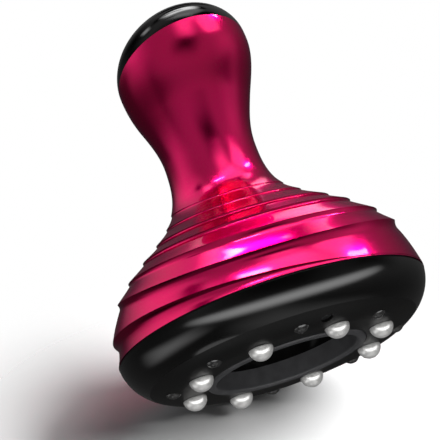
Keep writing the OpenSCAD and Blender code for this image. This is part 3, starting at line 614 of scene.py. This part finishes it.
# Bowl and bead ring: one smooth rounded underside, parted by a hairline
def bowl_r(z, inset=0.0):
    part = (BOWL_CENTRE_Z - z) / (BOWL_DROP - inset)
    return BOWL_CENTRE_R + (BOWL_ROUND - inset) * math.sqrt(max(0.0, 1 - part ** 2))


def under_z(r):
    part = max(0.0, r - BOWL_CENTRE_R) / BOWL_ROUND
    return BOWL_CENTRE_Z - BOWL_DROP * math.sqrt(1 - part ** 2)


def on_underside(r, angle):
    """A place on the rounded underside, with Z pointing into the ring, in metres."""
    reach = 0.1
    tilt = math.atan2(under_z(r + reach) - under_z(r - reach), 2 * reach)
    return (Matrix.Rotation(math.radians(angle), 4, "Z")
            @ Matrix.Translation(Vector((r, 0, under_z(r))) * MM)
            @ Matrix.Rotation(-tilt, 4, "Y"))


def make_bowl():
    lip_z = BOWL_TOP_Z - BOWL_LIP
    outer = BASE_R - CASING_WALL - SPIGOT_GAP
    inner = outer - SPIGOT_WALL
    spigot_z = SEAM_Z + SPIGOT_H
    profile = [(bowl_r(z), z) for z in spaced(BOWL_FLOOR_Z, lip_z, BOWL_ROWS)]
    profile += arc(bowl_r(BOWL_TOP_Z) - BOWL_LIP, lip_z, BOWL_LIP, 0, 90, EDGE_STEPS)[1:]
    profile += [(outer, BOWL_TOP_Z), (outer, spigot_z), (inner, spigot_z), (inner, BOWL_TOP_Z)]
    profile += [(bowl_r(z, BOWL_WALL), z)
                for z in spaced(BOWL_TOP_Z - SPIGOT_FOOT, GASKET_Z, BOWL_ROWS)]
    profile += [(MOUTH_HOLE_R, GASKET_Z), (MOUTH_HOLE_R, BOWL_FLOOR_Z)]
    return revolve("bowl_skin", profile)


def make_ring():
    edge_r = MOUTH_HOLE_R + RING_EDGE
    profile = [(MOUTH_HOLE_R, BOWL_FLOOR_Z)]
    profile += arc(edge_r, RING_Z + RING_EDGE, RING_EDGE, 180, 270, EDGE_STEPS)
    profile += [(r, RING_Z) for r in spaced(edge_r, BOWL_CENTRE_R, UNDER_STEPS)[1:]]
    profile += [(r, under_z(r))
                for r in spaced(BOWL_CENTRE_R, bowl_r(BOWL_FLOOR_Z), RING_ROWS)[1:]]
    ring = revolve("ring_skin", profile)
    tools = [cylinder(on_circle(BEAD_CIRCLE_R, angle), BEAD_STEM_R + HOLE_GAP, *BEAD_CUT)
             for angle in BEAD_ANGLES]
    tools += [placed(cylinder((0, 0), LAMP_STEM_R + HOLE_GAP, *LAMP_CUT),
                     on_underside(LAMP_CIRCLE_R, angle)) for angle in LAMP_ANGLES]
    tools.append(placed(cylinder((0, 0), SENSOR_R + HOLE_GAP, *SENSOR_CUT),
                        on_underside(SENSOR_CIRCLE_R, SENSOR_ANGLE)))
    return cut(ring, tools)


dress(make_bowl(), SATIN, replaces=["base_bowl"])
dress(make_ring(), DULL, replaces=["massage_ring"])


def make_bead(k):
    """A polished half ball with a small chamfer, a flat foot and a stem."""
    stem_z = RING_Z + BEAD_STEM_H
    profile = [(AXIS_R, RING_Z - BEAD_R)]
    profile += arc(0, RING_Z, BEAD_R, -90, BEAD_END, BEAD_STEPS)[1:]
    profile += [(BEAD_R - BEAD_EDGE[0], RING_Z - BEAD_EDGE[1]), (BEAD_R - BEAD_CHAMFER, RING_Z),
                (BEAD_STEM_R, RING_Z), (BEAD_STEM_R, stem_z), (AXIS_R, stem_z)]
    place = on_circle(BEAD_CIRCLE_R, BEAD_ANGLES[k])
    return revolve(f"bead_dome_{k + 1}", profile, place, SMALL_ROUND)


def make_window(k):
    """A smoked lens with a low dome, tilted with the underside."""
    centre = LAMP_BALL_R - LAMP_DOME
    foot = math.sqrt(LAMP_BALL_R ** 2 - centre ** 2)
    lift = math.degrees(math.asin(centre / LAMP_BALL_R))
    profile = arc(0, centre, LAMP_BALL_R, -90, -lift, LAMP_STEPS)
    profile[0] = (AXIS_R, profile[0][1])
    profile += [(foot - LAMP_CHAMFER, 0.0), (LAMP_STEM_R, 0.0),
                (LAMP_STEM_R, LAMP_STEM_H), (AXIS_R, LAMP_STEM_H)]
    obj = revolve(f"window_dome_{k + 1}", profile, (0, 0), TINY_ROUND)
    return placed(obj, on_underside(LAMP_CIRCLE_R, LAMP_ANGLES[k]))


for k in range(COUNT):
    dress(make_bead(k), SILVER, replaces=[f"bead_{k + 1}"])
for k in range(COUNT):
    dress(make_window(k), SMOKE, replaces=["lamp_windows"])


# Suction mouth: the soft lip and the cup behind it
def make_lip():
    round_z = RING_Z - LIP_RISE + LIP_ROUND
    outer = MOUTH_R + LIP_WALL
    profile = arc(MOUTH_R + LIP_ROUND, round_z, LIP_ROUND, 180, 270, LIP_STEPS)
    profile += arc(outer - LIP_ROUND, round_z, LIP_ROUND, 270, 360, LIP_STEPS)
    profile += [(outer, FLANGE_Z), (MOUTH_R, FLANGE_Z)]
    return revolve("lip_skin", profile)


def make_cup():
    top = CEILING_Z + CUP_WALL
    out_r = MOUTH_R + CUP_WALL
    out_round = CUP_ROUND + CUP_WALL
    flange_top = FLANGE_Z + FLANGE_H
    profile = [(MOUTH_R, FLANGE_Z)]
    profile += arc(MOUTH_R - CUP_ROUND, CEILING_Z - CUP_ROUND, CUP_ROUND, 0, 90, CUP_STEPS)
    profile += [(AXIS_R, CEILING_Z), (AXIS_R, top)]
    profile += arc(out_r - out_round, top - out_round, out_round, 90, 0, CUP_STEPS)
    profile += [(out_r, flange_top), (FLANGE_R, flange_top), (FLANGE_R, FLANGE_Z)]
    cup = revolve("cup_skin", profile)
    tools = [cylinder(on_circle(LENS_CIRCLE_R, angle), LENS_R + HOLE_GAP, *CUP_CUT)
             for angle in LENS_ANGLES]
    tools += [cylinder((x, 0), PORT_R, *CUP_CUT) for x in (-PORT_X, PORT_X)]
    return cut(cup, tools)


dress(make_lip(), RUBBER, replaces=["mouth_seal"])
dress(make_cup(), BLACK, replaces=["suction_cup"])


# Release valve's spring: a wire coil in the place of the solids' sleeve, pressed by the plunger
SPRING_WIRE_R = 0.25
SPRING_TURNS = 3
SPRING_STEPS = 28
SPRING_SIDES = 8


def make_spring():
    """The coil, and the point it stands on."""
    low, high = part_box("valve_spring")
    middle = (low + high) / 2
    wire = SPRING_WIRE_R * MM
    r = (high.x - low.x) / 2 - wire
    count = SPRING_TURNS * SPRING_STEPS
    verts = []
    for i, z in enumerate(spaced(low.z + wire, high.z - wire, count)):
        a = 2 * math.pi * i / SPRING_STEPS
        out = Vector((math.cos(a), math.sin(a), 0))
        for j in range(SPRING_SIDES):
            b = 2 * math.pi * j / SPRING_SIDES
            verts.append(Vector((middle.x, middle.y, z)) + out * (r + wire * math.cos(b))
                         + Vector((0, 0, wire * math.sin(b))))
    end = range(SPRING_SIDES)
    faces = band_faces(range(count), SPRING_SIDES)
    faces += [tuple(end), tuple(count * SPRING_SIDES + j for j in reversed(end))]
    return add_mesh("valve_coil", verts, faces), (middle.x, middle.y, low.z)


spring, spring_foot = make_spring()
dress(spring, STEEL, replaces=["valve_spring"])
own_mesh(spring)


# Control cap: a low dome over the knob's slanted joint, with its collar
CAP_AXIS = Vector((0, math.sin(CAP_TILT), math.cos(CAP_TILT)))
CAP_CENTRE = Vector((0, KNOB_SET_BACK, CAP_Z))
CAP_FRAME = Matrix.Translation(CAP_CENTRE * MM) @ Matrix.Rotation(-CAP_TILT, 4, "X")
COLLAR_R = KNOB_R - CASING_WALL - COLLAR_GAP
CROWN_R = KNOB_R ** 2 / CAP_HEIGHT
CROWN_Z = CAP_HEIGHT - CROWN_R


def crown_way(inset):
    lean = Vector((0, -math.cos(CAP_TILT), math.sin(CAP_TILT))) * CAP_LEAN
    return CAP_AXIS * (CAP_HEIGHT - inset) + lean


def dome_point(a, lift, inset):
    z = cap_edge_z(a, inset)
    r = skin_r(z) - inset
    rim = Vector((r * math.cos(a), skin_y(z) + r * math.sin(a), z))
    point = CAP_CENTRE + (rim - CAP_CENTRE) * math.cos(lift)
    return (point + crown_way(inset) * math.sin(lift)) * MM


def cap_top(x, y):
    """Height of the ball that the keys' and the window's tops follow, in the cap's frame."""
    return CROWN_Z + math.sqrt(CROWN_R ** 2 - x ** 2 - (y + CAP_LEAN) ** 2)


def window_outline(grow):
    w, h = WINDOW[0] + 2 * grow, WINDOW[1] + 2 * grow
    return slot_outline(w, h, WINDOW_STEPS, WINDOW_Y)


def make_cap():
    verts, faces = [], []
    base = DOME_COLUMNS * DOME_ROWS + 1
    for inset in (0, CAP_WALL):
        for j in range(DOME_COLUMNS):
            a = 2 * math.pi * j / DOME_COLUMNS
            verts += [dome_point(a, math.pi / 2 * i / DOME_ROWS, inset)
                      for i in range(DOME_ROWS)]
        verts.append((CAP_CENTRE + crown_way(inset)) * MM)

    def at(skin, j, i):
        return skin * base + j % DOME_COLUMNS * DOME_ROWS + i

    last = DOME_ROWS - 1
    for j in range(DOME_COLUMNS):
        for skin in (0, 1):
            faces += [(at(skin, j, i), at(skin, j + 1, i), at(skin, j + 1, i + 1),
                       at(skin, j, i + 1)) for i in range(last)]
            faces.append((at(skin, j, last), at(skin, j + 1, last), (skin + 1) * base - 1))
        faces.append((at(0, j, 0), at(0, j + 1, 0), at(1, j + 1, 0), at(1, j, 0)))
    cap = add_mesh("cap_skin", verts, faces)
    outline = window_outline(WINDOW_GAP)
    tools = [prism(*([Vector((x, y, z)) * MM for x, y in outline] for z in WINDOW_CUT))]
    tools += [cylinder(on_circle(BUTTON_CIRCLE_R, angle), BUTTON_R + BUTTON_GAP, *BUTTON_CUT,
                       SMALL_ROUND) for angle in BUTTON_ANGLES.values()]
    return cut(cap, [placed(tool, CAP_FRAME) for tool in tools])


def make_collar():
    inner = COLLAR_R - COLLAR_WALL
    ledge_r = KNOB_R - LEDGE_INSET
    low, high = LEDGE_Z
    outline = [(COLLAR_R, -COLLAR_DEPTH + COLLAR_CHAMFER),
               (COLLAR_R - COLLAR_CHAMFER, -COLLAR_DEPTH), (inner, -COLLAR_DEPTH),
               (inner, high), (ledge_r, high), (ledge_r, low), (COLLAR_R, low)]
    return placed(revolve("cap_collar", outline), CAP_FRAME)


def make_button(name):
    """A round key whose top follows the cap's dome, with a rounded edge and a shallow dish."""
    foot = cap_top(0, BUTTON_CIRCLE_R + BUTTON_R) - CAP_WALL - BUTTON_DEPTH
    turn = Matrix.Rotation(math.radians(BUTTON_ANGLES[name]), 2)
    centre = turn @ Vector((BUTTON_CIRCLE_R, 0))

    def top(x, y):
        dish = DISH_DEPTH * max(0.0, 1 - (math.hypot(x, y) / DISH_R) ** 2) ** 2
        return cap_top(centre.x + x, centre.y + y) + BUTTON_RISE - dish

    flat_r = BUTTON_R - BUTTON_EDGE
    rings = [(BUTTON_R, None)]
    for angle in range(0, 91, 15):
        out, up = on_circle(BUTTON_EDGE, angle)
        rings.append((flat_r + out, BUTTON_EDGE - up))
    rings += [(flat_r * (1 - i / BUTTON_ROWS), 0.0) for i in range(1, BUTTON_ROWS)]
    verts = []
    for r, drop in rings:
        for j in range(SMALL_ROUND):
            a = 2 * math.pi * j / SMALL_ROUND
            x, y = r * math.cos(a), r * math.sin(a)
            z = foot if drop is None else top(x, y) - drop
            verts.append(Vector((centre.x + x, centre.y + y, z)) * MM)
    verts.append(Vector((centre.x, centre.y, top(0, 0))) * MM)
    last = (len(rings) - 1) * SMALL_ROUND
    faces = band_faces(range(len(rings) - 1), SMALL_ROUND)
    faces += [(last + j, last + (j + 1) % SMALL_ROUND, last + SMALL_ROUND)
              for j in range(SMALL_ROUND)]
    faces.append(tuple(reversed(range(SMALL_ROUND))))
    return placed(add_mesh(name + "_key", verts, faces), CAP_FRAME)


def make_display():
    """The smoked window, flush with the dome."""
    outline = window_outline(0)
    count = len(outline)
    verts = [Vector((x, y, CAP_HEIGHT - WINDOW_DEPTH)) * MM for x, y in outline]
    for i in range(WINDOW_ROWS):
        t = 1 - i / WINDOW_ROWS
        drop = WINDOW_EDGE if i == 0 else 0.0
        for x, y in outline:
            px, py = x * t, WINDOW_Y + (y - WINDOW_Y) * t
            verts.append(Vector((px, py, cap_top(px, py) - drop)) * MM)
    verts.append(Vector((0, WINDOW_Y, cap_top(0, WINDOW_Y))) * MM)
    last = WINDOW_ROWS * count
    faces = [tuple(reversed(range(count)))] + band_faces(range(WINDOW_ROWS), count)
    faces += [(last + j, last + (j + 1) % count, last + count) for j in range(count)]
    return placed(add_mesh("display_glass", verts, faces), CAP_FRAME)


dress(make_cap(), BLACK, replaces=["control_cap"])
dress(make_collar(), BLACK)
for button in BUTTON_ANGLES:
    dress(make_button(button), BLACK, body=button, replaces=[button])
dress(make_display(), SMOKE, replaces=["display_window"])


# Camera: the side it stands on, its roll, the point it looks at and its distance
CAM_AZ = math.radians(-28.436)
CAM_EL = math.radians(-16.382)
CAM_ROLL = math.radians(19.081)
CAM_TARGET = Vector((-3.773, 4.38, 57.54)) * MM
CAM_DISTANCE = 0.7
CAM_LENS = 172.46
CAM_SENSOR = 36
CAM_CLIP = (0.05, 20)


def make_camera():
    """Places the camera; gives the picture's right and up, and the way back to the camera."""
    data = bpy.data.cameras.new("camera")
    data.sensor_width = CAM_SENSOR
    data.lens = CAM_LENS
    data.clip_start, data.clip_end = CAM_CLIP
    obj = bpy.data.objects.new("camera", data)
    bpy.context.scene.collection.objects.link(obj)
    back = Vector((math.sin(CAM_AZ) * math.cos(CAM_EL), -math.cos(CAM_AZ) * math.cos(CAM_EL),
                   math.sin(CAM_EL)))
    level = Vector((math.cos(CAM_AZ), math.sin(CAM_AZ), 0))
    rise = back.cross(level)
    right = level * math.cos(CAM_ROLL) - rise * math.sin(CAM_ROLL)
    up = level * math.sin(CAM_ROLL) + rise * math.cos(CAM_ROLL)
    basis = Matrix((right, up, back)).transposed()
    obj.matrix_world = Matrix.Translation(CAM_TARGET + back * CAM_DISTANCE) @ basis.to_4x4()
    bpy.context.scene.camera = obj
    return right, up, back


VIEW_RIGHT, VIEW_UP, VIEW_BACK = make_camera()


# Shader trees of the world and the stage
def empty_tree(owner):
    owner.use_nodes = True
    owner.node_tree.nodes.clear()
    return owner.node_tree


def maths(tree, operation, first, second):
    """A math node; what it takes are numbers or other nodes' outputs."""
    node = tree.nodes.new("ShaderNodeMath")
    node.operation = operation
    for socket, value in zip(node.inputs, (first, second)):
        if isinstance(value, bpy.types.NodeSocket):
            tree.links.new(value, socket)
        else:
            socket.default_value = value
    return node.outputs["Value"]


def blend(tree, share, first, second):
    node = tree.nodes.new("ShaderNodeMixShader")
    tree.links.new(share, node.inputs["Fac"])
    tree.links.new(first, node.inputs[1])
    tree.links.new(second, node.inputs[2])
    return node.outputs["Shader"]


def surface(tree, kind, shader):
    tree.links.new(shader, tree.nodes.new(kind).inputs["Surface"])


# World: white behind everything and in what shines, and plain grey light from all round
WORLD_WHITE = (1, 1, 1, 1)
WORLD_GREY = (0.35, 0.35, 0.36, 1)


def make_world():
    world = bpy.data.worlds.new("studio")
    bpy.context.scene.world = world
    tree = empty_tree(world)
    path = tree.nodes.new("ShaderNodeLightPath").outputs
    seen = maths(tree, "MAXIMUM", path["Is Camera Ray"], path["Is Glossy Ray"])
    seen = maths(tree, "MAXIMUM", seen, path["Is Transmission Ray"])
    sheets = []
    for colour in (WORLD_GREY, WORLD_WHITE):
        node = tree.nodes.new("ShaderNodeBackground")
        node.inputs["Color"].default_value = colour
        node.inputs["Strength"].default_value = 1
        sheets.append(node.outputs["Background"])
    surface(tree, "ShaderNodeOutputWorld", blend(tree, seen, *sheets))


make_world()
bpy.context.scene.view_settings.view_transform = "Standard"


# Studio: softboxes and dark flags on a sphere round the object. Elevation is along the picture's
# up, azimuth turns from the camera (0) by its right (90) to the far side (180).
STUDIO_CENTRE = Vector((0, 0, 0.06))
STUDIO_R = 3.0
STUDIO_STEP = 0.15
PANEL_RINGS = 12
PANEL_COLUMNS = 48
FLAG_R = 4.5
FLAG_STEP = 5  # degrees, as the opening is, measured from straight down
FLAG_OPENING = 10
FLAG_LEVELS = (0.05, 0.3)
FLAG_MIDDLE = 0.5
FLAG_RISE = 0.8
FLAG_FRONT = 0.4


def studio_way(elevation, azimuth):
    e, a = math.radians(elevation), math.radians(azimuth)
    return (VIEW_RIGHT * (math.cos(e) * math.sin(a)) + VIEW_UP * math.sin(e)
            + VIEW_BACK * (math.cos(e) * math.cos(a)))


def stage_material(name):
    """A new material, its tree, and the share that the mesh's points carry as their fade."""
    material = bpy.data.materials.new(name)
    tree = empty_tree(material)
    fade = tree.nodes.new("ShaderNodeAttribute")
    fade.attribute_name = "fade"
    return material, tree, fade.outputs["Fac"]


def fading(tree, share, shader):
    """The shader where the share is 1, nothing where it is 0."""
    nothing = tree.nodes.new("ShaderNodeBsdfTransparent").outputs["BSDF"]
    surface(tree, "ShaderNodeOutputMaterial", blend(tree, share, nothing, shader))


def panel_light(name, strength):
    """Light that thins out toward the panel's edge."""
    material, tree, fade = stage_material(name)
    light = tree.nodes.new("ShaderNodeEmission")
    light.inputs["Strength"].default_value = strength
    fading(tree, fade, light.outputs["Emission"])
    return material


def flag_cloth(name):
    """A glow that runs between the flags' two levels."""
    material, tree, fade = stage_material(name)
    light = tree.nodes.new("ShaderNodeEmission")
    spread(tree, light, fade, *FLAG_LEVELS, "Strength")
    surface(tree, "ShaderNodeOutputMaterial", light.outputs["Emission"])
    return material


def stage_mesh(name, verts, faces, fades, material):
    mesh = bpy.data.meshes.new(name)
    mesh.from_pydata([tuple(v) for v in verts], [], faces)
    mesh.attributes.new("fade", "FLOAT", "POINT").data.foreach_set("value", fades)
    mesh.materials.append(material)
    obj = bpy.data.objects.new(name, mesh)
    bpy.context.scene.collection.objects.link(obj)
    obj.visible_camera = False
    obj.visible_shadow = False
    return obj


def disc_faces(rings, columns):
    """A fan round the middle point, then rings outward."""
    faces = [(0, 1 + j, 1 + (j + 1) % columns) for j in range(columns)]
    for i in range(rings - 1):
        low, high = 1 + i * columns, 1 + (i + 1) * columns
        for j in range(columns):
            k = (j + 1) % columns
            faces.append((low + j, high + j, high + k, low + k))
    return faces


def light_only(obj, names):
    """Let a panel or lamp reach the named pieces and nothing else."""
    receivers = bpy.data.collections.new(obj.name + "_reach")
    for name in names:
        receivers.objects.link(bpy.data.objects[name])
    obj.light_linking.receiver_collection = receivers


def softbox(name, elevation, azimuth, high, wide, strength, turn=0.0, soft=0.25, corner=4.0,
            near=0, only=()):
    """A glowing panel with rounded corners. Height and width are angles as the object sees them."""
    distance = STUDIO_R - near * STUDIO_STEP
    middle = studio_way(elevation, azimuth)
    side = studio_way(0, azimuth + 90)
    rise = middle.cross(side).normalized()
    if rise.dot(VIEW_UP) < 0:
        rise = -rise
    t = math.radians(turn)
    across = side * math.cos(t) + rise * math.sin(t)
    along = rise * math.cos(t) - side * math.sin(t)
    w, h = math.tan(math.radians(wide / 2)), math.tan(math.radians(high / 2))
    verts, fades = [STUDIO_CENTRE + middle * distance], [1.0]
    for i in range(1, PANEL_RINGS + 1):
        for j in range(PANEL_COLUMNS):
            a = 2 * math.pi * j / PANEL_COLUMNS
            c, s = math.cos(a), math.sin(a)
            r = (abs(c) ** corner + abs(s) ** corner) ** (-1 / corner) * i / PANEL_RINGS
            way = (middle + across * (w * c * r) + along * (h * s * r)).normalized()
            verts.append(STUDIO_CENTRE + way * distance)
            fades.append(ease((1 - i / PANEL_RINGS) / soft))
    faces = disc_faces(PANEL_RINGS, PANEL_COLUMNS)
    panel = stage_mesh(name, verts, faces, fades, panel_light(name, strength))
    light_only(panel, only or OBJECT)


def make_flags():
    """Dim cloth all round, for reflections only, darkest low at the back, open at the bottom."""
    rows, columns = 180 // FLAG_STEP, 360 // FLAG_STEP
    ways = [studio_way(-90 + FLAG_STEP * i, FLAG_STEP * j)
            for i in range(rows + 1) for j in range(columns)]
    verts = [STUDIO_CENTRE + way * FLAG_R for way in ways]
    fades = [ease(FLAG_MIDDLE + FLAG_RISE * way.dot(VIEW_UP) + FLAG_FRONT * way.dot(VIEW_BACK))
             for way in ways]
    faces = band_faces(range(FLAG_OPENING // FLAG_STEP, rows), columns)
    stage_mesh("flags", verts, faces, fades, flag_cloth("flags")).visible_diffuse = False


OBJECT = [o.name for o in bpy.context.scene.objects if o.type == "MESH"]
CASING = ["front_skin", "rear_skin"]
CAP = ["cap_skin", "cap_collar", "display_glass"]
BEADS = [f"bead_dome_{k + 1}" for k in range(COUNT)]
BASE = (["bowl_skin", "ring_skin", "lip_skin", "cup_skin"] + BEADS
        + [f"window_dome_{k + 1}" for k in range(COUNT)])

make_flags()
# Each softbox: name, elevation, azimuth, height, width, strength
softbox("sky", 90, 0, 56, 56, 1.8, soft=0.5, corner=2)
softbox("top", 75, 10, 22, 36, 2.6, soft=0.8, near=1)
softbox("key", 58, 200, 15, 30, 8, soft=0.6, near=2, only=CASING + BASE)
softbox("key_low", 40, 186, 18, 40, 3.6, soft=0.5, near=1, only=CASING + BASE)
softbox("lobe_right", 56, 76, 28, 36, 2.0, soft=0.4, near=3, only=CASING)
softbox("lobe", 66, 150, 16, 18, 3.6, near=3, only=CASING)
softbox("cap_top", 74, 205, 26, 46, 9, soft=0.6, near=3, only=CAP)
softbox("cap_side", 42, 266, 16, 24, 3, soft=0.8, near=3, only=CAP)
softbox("strip_a", 69, 225, 5, 28, 44, turn=-36, soft=0.5, near=4, only=CASING)
softbox("strip_b", 71, 296, 4, 20, 34, turn=59, soft=0.5, near=4, only=CASING)
softbox("strip_c", 45, 201, 3.5, 14, 24, turn=-34, soft=0.5, near=4, only=CASING)
softbox("window", 55, 110, 4.5, 14, 26, turn=-58, soft=0.1, near=4, only=CASING)
softbox("front_fill", 14, 8, 120, 130, 0.34, soft=1.0, only=CASING)
softbox("glow_left", 56, 250, 18, 34, 3.0, soft=1.0, near=1, only=CASING)
softbox("neck_glow", 56, 8, 44, 40, 1.6, soft=1.0, near=1, only=CASING)
softbox("side_left", 0, 280, 64, 70, 0.5, soft=1.0, only=CASING)
softbox("left_high", 26, 248, 72, 90, 1.0, soft=1.0, only=CASING)
softbox("side_right", 24, 82, 60, 70, 0.5, soft=1.0, only=CASING)
softbox("low_front", -62, 60, 50, 90, 0.6, soft=1.0, only=BASE)
softbox("low_left", -50, 285, 32, 70, 1.6, soft=1.0, near=2, only=BASE)
softbox("low_strip", -26, 24, 34, 150, 5, turn=16, soft=1.0, near=1, only=BASE)
softbox("bead_front", 25, 10, 60, 60, 0.8, soft=1.0, near=1, only=BEADS)


# Floor: a pale sheet under the leaning object, seen from above only, that fades into the backdrop
FLOOR_PITCH = math.radians(25)
FLOOR_GAP = 0.3
FLOOR_R = 0.14
FLOOR_TONE = 0.8
FLOOR_SOFT = 0.6
FLOOR_RINGS = 40
FLOOR_COLUMNS = 96
FLOOR_UP = VIEW_UP * math.cos(FLOOR_PITCH) + VIEW_BACK * math.sin(FLOOR_PITCH)
LAMP_WAY = (1.7, 1.5, 0.9)
LAMP_LEVEL = 1.1
LAMP_SOFTNESS = math.radians(42)


def floor_paper():
    """Paper on the floor's upper side, thinning out toward the rim, and nothing from below."""
    material, tree, fade = stage_material("floor_paper")
    paper = tree.nodes.new("ShaderNodeBsdfDiffuse")
    paper.inputs["Color"].default_value = (FLOOR_TONE, FLOOR_TONE, FLOOR_TONE, 1)
    below = tree.nodes.new("ShaderNodeNewGeometry").outputs["Backfacing"]
    seen = maths(tree, "MULTIPLY", fade, maths(tree, "SUBTRACT", 1, below))
    fading(tree, seen, paper.outputs["BSDF"])
    return material


def make_floor():
    lowest = min(FLOOR_UP.dot(v.co)
                 for name in ("bowl_skin", "ring_skin", "bead_dome_1", "bead_dome_2")
                 for v in bpy.data.objects[name].data.vertices)
    centre = FLOOR_UP * (lowest - FLOOR_GAP * MM)
    along = FLOOR_UP.cross(VIEW_RIGHT)
    verts, fades = [centre], [1.0]
    for i in range(1, FLOOR_RINGS + 1):
        r = FLOOR_R * i / FLOOR_RINGS
        for j in range(FLOOR_COLUMNS):
            a = 2 * math.pi * j / FLOOR_COLUMNS
            verts.append(centre + (VIEW_RIGHT * math.cos(a) + along * math.sin(a)) * r)
            fades.append(ease((1 - i / FLOOR_RINGS) / FLOOR_SOFT))
    faces = disc_faces(FLOOR_RINGS, FLOOR_COLUMNS)
    obj = stage_mesh("floor", verts, faces, fades, floor_paper())
    obj.visible_camera = True
    obj.visible_glossy = False
    obj.visible_diffuse = False
    obj.visible_transmission = False
    return obj


def floor_light(floor):
    """A lamp that only the floor receives, so the object casts its shadow and isn't lit more."""
    right, up, back = LAMP_WAY
    way = (VIEW_RIGHT * right + VIEW_UP * up + VIEW_BACK * back).normalized()
    data = bpy.data.lights.new("floor_light", "SUN")
    data.energy = LAMP_LEVEL * math.pi / (FLOOR_TONE * way.dot(FLOOR_UP))
    data.angle = LAMP_SOFTNESS
    obj = bpy.data.objects.new("floor_light", data)
    bpy.context.scene.collection.objects.link(obj)
    obj.rotation_mode = "QUATERNION"
    obj.rotation_quaternion = way.to_track_quat("Z", "Y")
    light_only(obj, [floor.name])


floor_light(make_floor())
